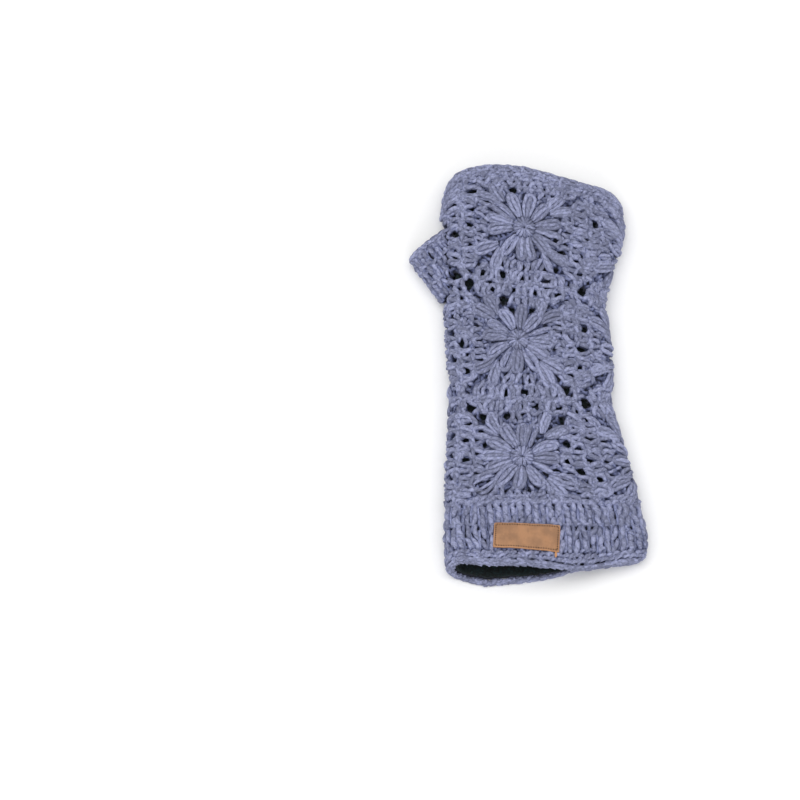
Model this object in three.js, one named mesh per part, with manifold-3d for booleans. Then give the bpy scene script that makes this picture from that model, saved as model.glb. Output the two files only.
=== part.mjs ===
// A crocheted hand warmer, a long fingerless mitten, lying flat as it does when it is put down.
// Nine granny squares with raised puff-stitch flowers are joined three by three into a tube. Two rounds of
// tall stitches and an edging make the cuff, an edging closes the finger end, a short thumb sleeve leaves the
// left side, a fleece lining fills the inside, and a plain leather patch sits on the cuff.
// Millimetres. +Y runs from the cuff to the fingers, +X to the right, +Z up from the surface it lies on.
import * as THREE from "three";
import { mergeVertices } from "three/addons/utils/BufferGeometryUtils.js";
import Module from "manifold-3d";

const wasm = await Module();
wasm.setup();

// Driving dimensions of the fabric
const WALL = 3.2; // crochet without its raised stitches
const RELIEF = 1.8; // how far a puff stitch stands proud
const LINING_WALL = 1.2;
const SEAM_GAP = 0.3; // clearance between pieces that touch
const LINING_GAP = 1.0; // the fleece hangs this far inside the crochet
const SQUARE = 70; // side of a granny square before it stretches
const SQUARES_AROUND = 3;

// The tube's form, from the cuff's edge to the finger edge. v is the length along the middle line; left and
// right are the x of the side folds, edge the radius of a fold, height the thickness of the flattened tube,
// seam the way along the skin from the left fold to the front squares' seam, and slope how a round of
// stitches climbs (dy/dx) towards the right.
const FORM = [
  { v: -109, left: -47.6, right: 63.2, edge: 8.8, height: 20.5, seam: 11.0, slope: 0.04 },
  { v: -97, left: -48.6, right: 67.4, edge: 8.8, height: 20.5, seam: 11.0, slope: 0.03 },
  { v: -84, left: -49.0, right: 65.8, edge: 8.8, height: 20.5, seam: 11.0, slope: 0.01 },
  { v: -70, left: -48.4, right: 63.2, edge: 8.6, height: 20.0, seam: 10.5, slope: 0.0 },
  { v: -47, left: -48.0, right: 57.8, edge: 8.2, height: 19.4, seam: 10.0, slope: -0.01 },
  { v: -30, left: -47.2, right: 53.2, edge: 8.0, height: 19.2, seam: 10.0, slope: -0.01 },
  { v: -6, left: -45.6, right: 47.0, edge: 8.0, height: 18.6, seam: 10.0, slope: -0.02 },
  { v: 12, left: -46.6, right: 47.4, edge: 8.0, height: 18.8, seam: 10.4, slope: -0.05 },
  { v: 31, left: -47.8, right: 47.2, edge: 8.0, height: 19.0, seam: 11.0, slope: -0.09 },
  { v: 52, left: -48.2, right: 44.6, edge: 8.0, height: 18.8, seam: 12.0, slope: -0.12 },
  { v: 65, left: -48.0, right: 44.2, edge: 8.0, height: 18.6, seam: 12.6, slope: -0.13 },
  { v: 78, left: -48.2, right: 46.8, edge: 8.0, height: 18.8, seam: 13.2, slope: -0.15 },
  { v: 99, left: -49.0, right: 52.4, edge: 8.0, height: 18.8, seam: 14.0, slope: -0.2 },
  { v: 113, left: -50.0, right: 54.2, edge: 7.8, height: 18.0, seam: 14.5, slope: -0.25 },
  { v: 136.8, left: -49.6, right: 54.6, edge: 7.4, height: 16.6, seam: 15.0, slope: -0.28 },
];

// The finger end's corners: bend pulls the whole end down towards the side, round only its last part
const CORNERS = { from: 88, to: 136.8, left: { bend: 17.5, round: 11 }, right: { bend: 0, round: 6.5 } };

// The cuff's mouth gapes on the left, where its front is drawn up and its back hangs longer, and closes to the
// right. reach is the way across from its middle to its folds, and front and back are how far its edge moves
// towards the fingers.
const MOUTH = { from: -70, to: -109, droop: 8.6 };
const MOUTH_EDGE = [
  { reach: -1, front: 5.2, back: 1.0 },
  { reach: -0.88, front: 7.6, back: -0.7 },
  { reach: -0.61, front: 5.6, back: -4.8 },
  { reach: -0.39, front: 3.8, back: -4.2 },
  { reach: -0.16, front: 1.8, back: -3.5 },
  { reach: 0.08, front: 0.1, back: -1.5 },
  { reach: 0.37, front: -1.3, back: 2.8 },
  { reach: 0.67, front: 1.8, back: 4.2 },
  { reach: 1, front: 5.2, back: 5.2 },
];

// The pattern's rounds along the tube
const CUFF_RIM = -109;
const TALL_ROUNDS = [
  { from: -99.6, to: -84.8 },
  { from: -84.8, to: -70 },
];
const TALL_BULGE = 0.8;
const FINGER_EDGE_FROM = 129.5;
const FINGER_RIM = 136.8;
const EDGE_BEAD = 0.9; // the rolled chain of an edging stands this far out
// The lining shares the rows of each square that sharedRows counts
const SQUARE_ROUNDS = [
  { name: "low", from: -70, middle: -41.8, to: -7, spans: 4, sharedRows: [0, 1, 2] },
  { name: "mid", from: -7, middle: 29.8, to: 64, spans: 4, sharedRows: [0, 2, 3] },
  { name: "top", from: 64, middle: 99, to: 129.5, spans: 5, sharedRows: [0, 2, 4] },
];

// The squares round the tube, each with its strips of fabric; the folds have the narrow ones
const SQUARE_COLUMNS = [
  { name: "front", strips: [{ from: 0, to: 1, spans: 6 }] },
  { name: "side", strips: [{ from: 1, to: 1.56, spans: 6 }, { from: 1.56, to: 2, spans: 2 }] },
  { name: "back", strips: [{ from: 2, to: 2.64, spans: 3 }, { from: 2.64, to: 3, spans: 4 }] },
];

// The flower of a square, worked from its centre outwards
const HEART = { base: 6.8, crown: 5.2, height: 1.2, sides: 8 };
const PETALS = { count: 12, from: 7.2, to: 20.4, width: 6.2 };
const CORNER_PUFFS = { corners: [45, 135, 225, 315], spread: 14, from: 19.4, to: 31, width: 6.4 };
const PUFF_BEVEL = 1.1;
const GAP = { distance: 31, places: [-12, 0, 12], margin: 2.6, width: 4.6, height: 3.6 };

// The thumb sleeve: a short flattened tube whose axis leans left of the fingers. q runs from its root to its
// rim; half is its half width.
const THUMB = { rimX: -58.0, rimY: 95, lean: 39, root: 18, length: 52 };
const THUMB_FORM = [
  { q: 18, half: 18.4, edge: 6.2, height: 12.8 },
  { q: 34, half: 17.6, edge: 6.2, height: 12.8 },
  { q: 46, half: 16.6, edge: 6.3, height: 13.0 },
  { q: 52, half: 15.6, edge: 6.4, height: 13.4 },
];

// The leather patch on the cuff
const PATCH = { x: -2.4, v: -91.9, width: 38.4, height: 16.2, thick: 1.3, corner: 0.9, turn: -3 };

// The lining stops short of the edgings' rims
const LINING = { from: -107, to: 134 };

const YARN = { color: 0x9195b2, roughness: 0.95, metalness: 0 };
const FLEECE = { color: 0x1b2424, roughness: 1, metalness: 0 };
const LEATHER = { color: 0xb98654, roughness: 0.7, metalness: 0 };

const { clamp, degToRad, euclideanModulo, smoothstep } = THREE.MathUtils;

// Equal steps from one value to another, and a list of such stretches that ends before the last one's end
function evenly(from, to, spans) {
  return Array.from({ length: spans + 1 }, (_, i) => from + ((to - from) * i) / spans);
}

function stretches(list) {
  return list.flatMap(({ from, to, spans }) => evenly(from, to, spans).slice(0, -1));
}

// A smooth value of a table's column at a place along its key
function tableAt(table, key, column, place) {
  const last = table.length - 1;
  const at = clamp(place, table[0][key], table[last][key]);
  let i = 0;
  while (i < last - 1 && at > table[i + 1][key]) i += 1;
  const slopeAt = (row) => {
    const before = table[Math.max(row - 1, 0)];
    const after = table[Math.min(row + 1, last)];
    return (after[column] - before[column]) / (after[key] - before[key]);
  };
  const span = table[i + 1][key] - table[i][key];
  const t = (at - table[i][key]) / span;
  const rise = t * t * (3 - 2 * t);
  const level = table[i][column] * (1 - rise) + table[i + 1][column] * rise;
  return level + span * t * (1 - t) * ((1 - t) * slopeAt(i) - t * slopeAt(i + 1));
}

function formAt(v) {
  const form = {};
  for (const column of ["left", "right", "edge", "height", "seam", "slope"]) {
    form[column] = tableAt(FORM, "v", column, v);
  }
  form.middle = (form.left + form.right) / 2;
  form.flat = (form.right - form.left) / 2 - form.edge;
  form.crown = form.height - 2 * form.edge;
  return form;
}

// A flattened tube's outline at depth t under its skin. side runs round it: 0 to 1 over the top from left to
// right, 1 to 2 round the right fold, 2 to 3 back along the flat underside, 3 to 4 round the left fold.
function outlinePoint({ flat, edge, crown }, side, t) {
  const part = Math.floor(side) % 4;
  const along = side - Math.floor(side);
  if (part === 0) {
    const x = flat * (2 * along - 1);
    return [x, 2 * edge + (crown * (1 + Math.cos((Math.PI * x) / flat))) / 2 - t];
  }
  if (part === 2) return [flat * (1 - 2 * along), t];
  const turn = part === 1 ? Math.PI / 2 - Math.PI * along : -Math.PI / 2 - Math.PI * along;
  const centre = part === 1 ? flat : -flat;
  return [centre + (edge - t) * Math.cos(turn), edge + (edge - t) * Math.sin(turn)];
}

// The place round the outline, as outlinePoint counts it, of a place u counted in squares
function sideOf(form, u) {
  const fold = Math.PI * form.edge;
  const lengths = [2 * form.flat, fold, 2 * form.flat, fold];
  const around = 2 * fold + 4 * form.flat;
  let way = euclideanModulo(form.seam - fold / 2 + (u / SQUARES_AROUND) * around, around);
  let part = 0;
  while (part < 3 && way > lengths[part]) {
    way -= lengths[part];
    part += 1;
  }
  return part + Math.min(way / lengths[part], 1 - 1e-9);
}

// A point of the hand warmer's fabric: v along it, side round it, t deep. What would bulge out underneath is
// pressed flat by the surface; only what cuts through may reach lower.
function fabricPoint(v, side, t, lowest = 0) {
  const form = formAt(v);
  const [across, up] = outlinePoint(form, side, t);
  const reach = across / (form.flat + form.edge);
  const corner = reach < 0 ? CORNERS.left : CORNERS.right;
  const pull = corner.bend * reach ** 2 + corner.round * reach ** 12;
  const pulled = smoothstep(v, CORNERS.from, CORNERS.to) * pull;
  const mouth = clamp((v - MOUTH.from) / (MOUTH.to - MOUTH.from), 0, 1) ** 2;
  const share = up / form.height;
  const front = tableAt(MOUTH_EDGE, "reach", "front", reach);
  const back = tableAt(MOUTH_EDGE, "reach", "back", reach);
  const drawn = mouth * (back + (front - back) * share);
  const wall = WALL + LINING_GAP + LINING_WALL;
  const raised = clamp((up - wall) / (form.height - 2 * wall), 0, 1);
  const droop = mouth * MOUTH.droop * raised * smoothstep(reach, -0.15, 0.65);
  const y = v + form.slope * across - pulled + drawn;
  return new THREE.Vector3(form.middle + across, y, Math.max(up - droop, lowest));
}

function skinPoint(u, v, t, lowest) {
  return fabricPoint(v, sideOf(formAt(v), u), t, lowest);
}

// A point of the thumb sleeve: q along its axis, side round it, t deep
function thumbPoint(q, side, t) {
  const half = tableAt(THUMB_FORM, "q", "half", q);
  const edge = tableAt(THUMB_FORM, "q", "edge", q);
  const height = tableAt(THUMB_FORM, "q", "height", q);
  const [across, up] = outlinePoint({ flat: half - edge, edge, crown: height - 2 * edge }, side, t);
  const lean = degToRad(THUMB.lean);
  const fromRim = q - THUMB.length;
  return new THREE.Vector3(
    THUMB.rimX - fromRim * Math.sin(lean) + across * Math.cos(lean),
    THUMB.rimY + fromRim * Math.cos(lean) + across * Math.sin(lean),
    Math.max(up, 0),
  );
}

// A shape whose every corner is moved to its place, made a solid
function bent(geometry, place) {
  geometry.deleteAttribute("normal");
  geometry.deleteAttribute("uv");
  const corners = geometry.attributes.position;
  for (let i = 0; i < corners.count; i += 1) {
    const { x, y, z } = place(corners.getX(i), corners.getY(i), corners.getZ(i));
    corners.setXYZ(i, x, y, z);
  }
  const merged = mergeVertices(geometry, 1e-3);
  const vertProperties = new Float32Array(merged.attributes.position.array);
  const solid = (triVerts) => new wasm.Manifold(new wasm.Mesh({ numProp: 3, vertProperties, triVerts }));
  const made = solid(new Uint32Array(merged.index.array));
  return made.volume() > 0 ? made : solid(new Uint32Array(merged.index.array).reverse());
}

// Which of a round shape's columns a corner belongs to
function columnOf(x, z, count) {
  return Math.round((Math.atan2(x, z) / (2 * Math.PI) + 1) * count) % count;
}

// A sheet of fabric with a column and a row for each value given: place(column, row, outer)
function bentSheet(columns, rows, place) {
  const wide = columns.length - 1;
  const high = rows.length - 1;
  const sheet = new THREE.BoxGeometry(wide, high, 1, wide, high, 1);
  return bent(sheet, (x, y, z) => {
    const column = columns[Math.round(x + wide / 2)];
    return place(column, rows[Math.round(y + high / 2)], z > 0);
  });
}

// A tube's wall with a ring for each row given: place(column, row, outer)
function bentTube(columns, rows, place) {
  const outer = rows.map((_, i) => new THREE.Vector2(2, i));
  const inner = rows.map((_, i) => new THREE.Vector2(1, i)).reverse();
  const wall = new THREE.LatheGeometry([...outer, ...inner, outer[0]], columns.length);
  return bent(wall, (x, y, z) =>
    place(columns[columnOf(x, z, columns.length)], rows[Math.round(y)], Math.hypot(x, z) > 1.5),
  );
}

// What fills a tube: place(column, row) gives its outline at each row
function bentBar(columns, rows, place) {
  const high = rows.length - 1;
  const bar = new THREE.CylinderGeometry(1, 1, high, columns.length, high);
  const middleOf = (row) => {
    const sum = new THREE.Vector3();
    columns.forEach((column) => sum.add(place(column, row)));
    return sum.divideScalar(columns.length);
  };
  return bent(bar, (x, y, z) => {
    const row = rows[Math.round(y + high / 2)];
    return Math.hypot(x, z) < 0.5 ? middleOf(row) : place(columns[columnOf(x, z, columns.length)], row);
  });
}

// The strips of fabric round the whole tube, and the rows of all the squares
const AROUND = SQUARE_COLUMNS.flatMap((column) => stretches(column.strips));
const SQUARE_ROWS = [...stretches(SQUARE_ROUNDS), FINGER_EDGE_FROM];
const THUMB_AROUND = stretches([
  { from: 0, to: 1, spans: 3 },
  { from: 1, to: 2, spans: 5 },
  { from: 2, to: 3, spans: 2 },
  { from: 3, to: 4, spans: 5 },
]);

function fabricTube(rows, outerDepth) {
  return bentTube(AROUND, rows, (u, v, outer) => skinPoint(u, v, outer ? outerDepth(v) : WALL));
}

function fabricFilling(rows, depth) {
  return bentBar(AROUND, rows, (u, v) => skinPoint(u, v, depth));
}

function thumbFilling(rows, depth) {
  return bentBar(THUMB_AROUND, rows, (side, q) => thumbPoint(q, side, depth));
}

// A small raised or cut shape on the skin of a square, in millimetres round the square's middle; its z is the
// height over the fabric
function onSquare(geometry, centreU, centreV, lowest) {
  return bent(geometry, (x, y, z) => skinPoint(centreU + x / SQUARE, centreV + y, -z, lowest));
}

// A puff stitch: gathered towards the flower's centre and full at its outer end
function puffAt(centreU, centreV, degrees, { from, to, width }) {
  const half = width / 2;
  const length = to - from;
  const outline = new THREE.Shape();
  outline.moveTo(from, 0);
  outline.lineTo(from + length * 0.62, -half);
  outline.lineTo(to, -half * 0.5);
  outline.lineTo(to, half * 0.5);
  outline.lineTo(from + length * 0.62, half);
  outline.closePath();
  const sunk = WALL * 0.25;
  const puff = new THREE.ExtrudeGeometry(outline, {
    depth: sunk * 0.4,
    bevelThickness: RELIEF + sunk * 0.6,
    bevelSize: PUFF_BEVEL,
    bevelOffset: -PUFF_BEVEL,
    bevelSegments: 1,
  });
  puff.translate(0, 0, -sunk);
  puff.rotateZ(degToRad(degrees));
  return onSquare(puff, centreU, centreV);
}

function heartAt(centreU, centreV) {
  const sunk = WALL * 0.25;
  const tall = HEART.height + sunk;
  const heart = new THREE.CylinderGeometry(HEART.crown, HEART.base, tall, HEART.sides);
  heart.rotateX(Math.PI / 2);
  heart.translate(0, 0, tall / 2 - sunk);
  return onSquare(heart, centreU, centreV);
}

// The flower's stitches that face up or outwards; those underneath are pressed into the fabric
function flowerAt(centreU, centreV) {
  const free = (x, y) => {
    const skin = skinPoint(centreU + x / SQUARE, centreV + y, 0);
    return skin.z - skinPoint(centreU + x / SQUARE, centreV + y, 1).z > -0.6;
  };
  const puffs = free(0, 0) ? [heartAt(centreU, centreV)] : [];
  const addPuff = (degrees, puff) => {
    const way = degToRad(degrees);
    const ends = [puff.from, puff.to];
    if (!ends.every((r) => free(r * Math.cos(way), r * Math.sin(way)))) return;
    puffs.push(puffAt(centreU, centreV, degrees, puff));
  };
  for (let i = 0; i < PETALS.count; i += 1) addPuff((i * 360) / PETALS.count, PETALS);
  for (const corner of CORNER_PUFFS.corners) {
    addPuff(corner - CORNER_PUFFS.spread, CORNER_PUFFS);
    addPuff(corner + CORNER_PUFFS.spread, CORNER_PUFFS);
  }
  return puffs;
}

// The openwork along each side of a square: gaps cut through the fabric
function gapAt(centreU, centreV, x, y) {
  const outline = new THREE.Shape();
  outline.moveTo(x - GAP.width / 2, y - GAP.height * 0.3);
  outline.lineTo(x + GAP.width * 0.3, y - GAP.height / 2);
  outline.lineTo(x + GAP.width / 2, y + GAP.height * 0.3);
  outline.lineTo(x - GAP.width * 0.3, y + GAP.height / 2);
  outline.closePath();
  const gap = new THREE.ExtrudeGeometry(outline, { depth: WALL + 2, bevelEnabled: false });
  gap.translate(0, 0, -WALL - 1);
  return onSquare(gap, centreU, centreV, -WALL);
}

function gapsOf(centreU, round) {
  const down = Math.min(GAP.distance, round.middle - round.from - GAP.margin);
  const up = Math.min(GAP.distance, round.to - round.middle - GAP.margin);
  return GAP.places.flatMap((place) => [
    gapAt(centreU, round.middle, -GAP.distance, place),
    gapAt(centreU, round.middle, GAP.distance, place),
    gapAt(centreU, round.middle, place, -down),
    gapAt(centreU, round.middle, place, up),
  ]);
}

const thumbRows = evenly(THUMB.root, THUMB.length, 3);
const thumbRoom = thumbFilling(thumbRows, -SEAM_GAP);
const thumbHollow = thumbFilling(thumbRows, WALL);
const clearOfThumb = (solid) => solid.intersect(thumbRoom).volume() < 1e-6;

function grannySquare(column, columnIndex, round) {
  const columns = [...stretches(column.strips), columnIndex + 1];
  const rows = evenly(round.from, round.to, round.spans);
  columns[0] += SEAM_GAP / 2 / SQUARE;
  columns[columns.length - 1] -= SEAM_GAP / 2 / SQUARE;
  rows[0] += SEAM_GAP / 2;
  rows[rows.length - 1] -= SEAM_GAP / 2;
  const fabric = bentSheet(columns, rows, (u, v, outer) => skinPoint(u, v, outer ? 0 : WALL));
  const centreU = columnIndex + 0.5;
  const raised = [fabric, ...flowerAt(centreU, round.middle).filter(clearOfThumb)];
  const cut = [thumbHollow, ...gapsOf(centreU, round).filter(clearOfThumb)];
  return wasm.Manifold.union(raised).subtract(wasm.Manifold.union(cut));
}

// The cuff's two rounds of tall stitches bulge a little between the rounds' joins
function cuffBand() {
  const rows = [...TALL_ROUNDS.flatMap(({ from, to }) => [from, (from + to) / 2]), TALL_ROUNDS[1].to];
  const joins = [rows[0], rows[2], rows[4]];
  const bulge = new Map(rows.map((v) => [v, joins.includes(v) ? 0 : -TALL_BULGE]));
  rows[0] += SEAM_GAP / 2;
  rows[rows.length - 1] -= SEAM_GAP / 2;
  return fabricTube(rows, (v) => bulge.get(v) ?? 0);
}

// An edging: a round of short stitches and the rolled chain near its rim
function edging(inner, rim) {
  const chain = inner + (rim - inner) * 0.75;
  const rows = [inner, inner + (rim - inner) * 0.5, chain, rim];
  return fabricTube(rows, (v) => (v === chain ? -EDGE_BEAD : 0));
}

// The thumb sleeve stands off the tube's skin
function thumbSleeve() {
  const chain = THUMB.length - 1.8;
  const rows = [THUMB.root, (THUMB.root + chain) / 2, chain - 2.4, chain, THUMB.length];
  const wall = bentTube(THUMB_AROUND, rows, (side, q, outer) => {
    const bead = q === chain ? -EDGE_BEAD * 0.6 : 0;
    return thumbPoint(q, side, outer ? bead : WALL);
  });
  return wall.subtract(fabricFilling(SQUARE_ROWS, -SEAM_GAP));
}

// The lining follows the inside of the tube, with a way through to the thumb sleeve
function lining() {
  const depth = WALL + LINING_GAP;
  const inside = depth + LINING_WALL;
  const shared = SQUARE_ROUNDS.flatMap(({ from, to, spans, sharedRows }) =>
    sharedRows.map((row) => evenly(from, to, spans)[row]),
  );
  const rows = [LINING.from, TALL_ROUNDS[1].from, ...shared, LINING.to];
  const past = [LINING.from - 4, ...rows.slice(1, -1), LINING.to + 4];
  return fabricFilling(rows, depth).subtract(fabricFilling(past, inside)).subtract(thumbHollow);
}

// The patch bends with the cuff; its corners are a little rounded
function leatherPatch() {
  const { width, height, corner } = PATCH;
  const columns = [-width / 2, corner - width / 2, -9, 0, 9, width / 2 - corner, width / 2];
  const rows = [-height / 2, corner - height / 2, height / 2 - corner, height / 2];
  const turn = degToRad(PATCH.turn);
  return bentSheet(columns, rows, (x, y, outer) => {
    const atCorner = Math.abs(x) === width / 2 && Math.abs(y) === height / 2;
    const pull = atCorner ? corner * 0.3 : 0;
    const px = x - Math.sign(x) * pull;
    const py = y - Math.sign(y) * pull;
    const v = PATCH.v + px * Math.sin(turn) + py * Math.cos(turn);
    const { middle, flat } = formAt(v);
    const across = PATCH.x + px * Math.cos(turn) - py * Math.sin(turn) - middle;
    const under = TALL_BULGE + SEAM_GAP;
    return fabricPoint(v, (across / flat + 1) / 2, outer ? -under - PATCH.thick : -under);
  });
}

// The scene graph: one named mesh for each piece
const handWarmer = new THREE.Group();

function addPiece(name, solid, finish) {
  const { vertProperties, triVerts } = solid.getMesh();
  const geometry = new THREE.BufferGeometry();
  geometry.setAttribute("position", new THREE.BufferAttribute(vertProperties, 3));
  geometry.setIndex(new THREE.BufferAttribute(triVerts, 1));
  geometry.computeVertexNormals();
  const mesh = new THREE.Mesh(geometry, new THREE.MeshStandardMaterial(finish));
  mesh.name = name;
  handWarmer.add(mesh);
}

SQUARE_COLUMNS.forEach((column, columnIndex) => {
  for (const round of SQUARE_ROUNDS) {
    addPiece(`square_${column.name}_${round.name}`, grannySquare(column, columnIndex, round), YARN);
  }
});
addPiece("cuff_band", cuffBand(), YARN);
addPiece("cuff_edging", edging(TALL_ROUNDS[0].from - SEAM_GAP / 2, CUFF_RIM), YARN);
addPiece("finger_edging", edging(FINGER_EDGE_FROM + SEAM_GAP / 2, FINGER_RIM), YARN);
addPiece("thumb_sleeve", thumbSleeve(), YARN);
addPiece("lining", lining(), FLEECE);
addPiece("leather_patch", leatherPatch(), LEATHER);

// The origin is the bottom centre of the whole
const whole = new THREE.Box3().setFromObject(handWarmer);
const centre = whole.getCenter(new THREE.Vector3());
handWarmer.position.set(-centre.x, -centre.y, -whole.min.z);

const part = new THREE.Group();
part.add(handWarmer);
export default part;
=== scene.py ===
# A crocheted hand warmer, a long fingerless mitten lying flat. Every strand of yarn is laid out on a flat
# chart of its piece and then placed on the flattened tube. Charts and tables are in millimetres: x runs round
# the work, y along it and the height stands over the skin. What the place functions return is in metres.
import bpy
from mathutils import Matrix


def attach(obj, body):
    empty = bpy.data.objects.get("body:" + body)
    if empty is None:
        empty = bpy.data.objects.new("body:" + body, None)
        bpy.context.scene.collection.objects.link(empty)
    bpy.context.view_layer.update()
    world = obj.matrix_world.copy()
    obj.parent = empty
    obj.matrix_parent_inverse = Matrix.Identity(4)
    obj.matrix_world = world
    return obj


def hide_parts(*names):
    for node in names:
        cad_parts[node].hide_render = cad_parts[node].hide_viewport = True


bl_info = {
    "name": "Crochet Hand Warmer",
    "version": (1, 0, 0),
    "blender": (4, 5, 0),
    "location": "3D View > Sidebar > Hand Warmer",
    "description": "A crocheted hand warmer with puff-stitch flowers, a fleece lining and a leather patch",
    "category": "Object",
}

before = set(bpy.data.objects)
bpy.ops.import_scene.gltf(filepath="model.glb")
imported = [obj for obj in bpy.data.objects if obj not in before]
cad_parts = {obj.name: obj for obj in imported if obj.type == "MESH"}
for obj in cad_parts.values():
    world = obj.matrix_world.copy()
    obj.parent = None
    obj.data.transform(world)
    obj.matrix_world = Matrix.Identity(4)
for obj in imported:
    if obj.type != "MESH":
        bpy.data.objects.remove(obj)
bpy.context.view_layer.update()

import math

import bpy
import numpy as np
from bpy.props import FloatProperty, FloatVectorProperty, IntProperty, PointerProperty
from mathutils import Vector

MM = 0.001

# The tube's form along its length v: the x of the two side folds, the radius of a fold, the thickness of the
# flattened tube, the way from the left fold to the front squares' seam, and how a round climbs to the right
FORM = {
    "v": (-109, -97, -84, -70, -47, -30, -6, 12, 31, 52, 65, 78, 99, 113, 136.8),
    "left": (-47.6, -48.6, -49, -48.4, -48, -47.2, -45.6, -46.6, -47.8, -48.2, -48, -48.2, -49, -50, -49.6),
    "right": (63.2, 67.4, 65.8, 63.2, 57.8, 53.2, 47, 47.4, 47.2, 44.6, 44.2, 46.8, 52.4, 54.2, 54.6),
    "edge": (8.8, 8.8, 8.8, 8.6, 8.2, 8, 8, 8, 8, 8, 8, 8, 8, 7.8, 7.4),
    "height": (20.5, 20.5, 20.5, 20, 19.4, 19.2, 18.6, 18.8, 19, 18.8, 18.6, 18.8, 18.8, 18, 16.6),
    "seam": (11, 11, 11, 10.5, 10, 10, 10, 10.4, 11, 12, 12.6, 13.2, 14, 14.5, 15),
    "slope": (0.04, 0.03, 0.01, 0, -0.01, -0.01, -0.02, -0.05, -0.09, -0.12, -0.13, -0.15, -0.2, -0.25, -0.28),
}
# What the fingers' end does to the tube: how it falls back towards each fold and rounds its corners
CORNERS = {"from": 88, "to": 136.8, "left": {"bend": 17.5, "round": 11}, "right": {"bend": 0, "round": 6.5}}
CORNER_POWER = 12
# What the cuff's mouth does to it: how far its top droops, where that begins and where it is full. Reach is
# the way across from the tube's middle to its folds, and front and back are how far the cuff's edge moves
# towards the fingers.
MOUTH = {"from": -70, "to": -109, "droop": 8.6, "level_reach": -0.15, "drooped_reach": 0.65}
MOUTH_EDGE = {
    "reach": (-1, -0.88, -0.61, -0.39, -0.16, 0.08, 0.37, 0.67, 1),
    "front": (5.2, 7.6, 5.6, 3.8, 1.8, 0.1, -1.3, 1.8, 5.2),
    "back": (1, -0.7, -4.8, -4.2, -3.5, -1.5, 2.8, 4.2, 5.2),
}
# The thumb sleeve's axis leans left of the fingers; q runs along it from its root to its rim
THUMB = {"rim_x": -58, "rim_y": 95, "lean": math.radians(39), "root": 18, "length": 52}
THUMB_FORM = {
    "q": (18, 34, 46, 52),
    "half": (18.4, 17.6, 16.6, 15.6),
    "edge": (6.2, 6.2, 6.3, 6.4),
    "height": (12.8, 12.8, 13, 13.4),
}
# One of the four sides of the thumb sleeve's outline on its chart
THUMB_SIDE = 22.0
THUMB_STITCHES = 23
THUMB_ROUNDS = ((19, 29.5), (29.5, 39.5), (39.5, 48.6))
# From the middle line of the cuff, where the tables have their origin, to the origin of the frame
TO_FRAME = np.array((0.9046, -12.5611, 0.0))

WALL = 3.2
LINING_GAP = 1.0
LINING_WALL = 1.2
LINING_ENDS = (-107.3, 134)
# The width of a square on its chart
SQUARE = 70.0
ROUND = 3 * SQUARE
COLUMNS = ("front", "side", "back")
ROWS = {"low": (-70, -41.8, -7), "mid": (-7, 29.8, 64), "top": (64, 99, 129.5)}
FLOWER_REACH = 22.0
# How far the ground of a square ends before the square's edge
SEAM_ROOM = 0.15
# The cuff's two rounds of tall stitches, the rounds of knots over their ends, and the furrows above those
TALL_ROUNDS = ((-84.8, -70), (-99.6, -84.8))
KNOT_ROUNDS = (-70.4, -84.0, -98.4)
FURROWS = (-71.6, -85.6)
# Where the edgings begin and end, with the seed of each, and the strands of their rolled rims: how deep each
# lies and how far from the rim
EDGINGS = {"cuff_edging": (-99.75, -109, 401), "finger_edging": (129.65, 136.8, 402)}
EDGING_STITCHES = 58
EDGING_ROLL = ((-0.6, -1.9), (0.6, -1.1), (1.9, -1.3))
THUMB_ROLL = ((-0.5, -1.7), (1.4, -1.2))
PATCH = {
    "x": -2.4, "v": -91.9, "width": 38.4, "height": 16.2, "turn": math.radians(-3), "under": 1.1,
    "corner": 0.8, "inset": 1.1,
}
# The cut end of the patch's thread on the patch's chart, with whether its two strands lie apart there
THREAD_END = ((17.5, -7.4, 0.6, 1), (17.5, -8.6, 1.0, 0), (17.4, -9.8, 0.5, 1), (17.2, -10.9, 0.1, 0))
# How thick the strands of each kind of stitch are, as shares of the yarn's radius
THICK = {
    "heart": 1.22, "petal": 1.27, "petal_knot": 1.05, "corner_puff": 1.2, "corner_post": 1.15,
    "corner_knot": 1.2, "first_round": 1.2, "second_round": 1.25, "filler": 1.1, "cuff": 1.74, "edging": 1.1,
    "thumb": 1.42, "thumb_rim": 1.15,
}


def smooth(value, low, high):
    share = np.clip((value - low) / (high - low), 0, 1)
    return share * share * (3 - 2 * share)


def table_at(table, key, column, place):
    """A smooth value of a table's column at places along its key."""
    keys = np.array(table[key], float)
    values = np.array(table[column], float)
    at = np.clip(place, keys[0], keys[-1])
    i = np.clip(np.searchsorted(keys, at) - 1, 0, len(keys) - 2)
    before = np.maximum(np.arange(len(keys)) - 1, 0)
    after = np.minimum(np.arange(len(keys)) + 1, len(keys) - 1)
    slopes = (values[after] - values[before]) / (keys[after] - keys[before])
    span = keys[i + 1] - keys[i]
    t = (at - keys[i]) / span
    rise = t * t * (3 - 2 * t)
    level = values[i] * (1 - rise) + values[i + 1] * rise
    return level + span * t * (1 - t) * ((1 - t) * slopes[i] - t * slopes[i + 1])


def form_at(v):
    form = {column: table_at(FORM, "v", column, v) for column in FORM if column != "v"}
    form["middle"] = (form["left"] + form["right"]) / 2
    form["flat"] = (form["right"] - form["left"]) / 2 - form["edge"]
    form["crown"] = form["height"] - 2 * form["edge"]
    return form


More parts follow.
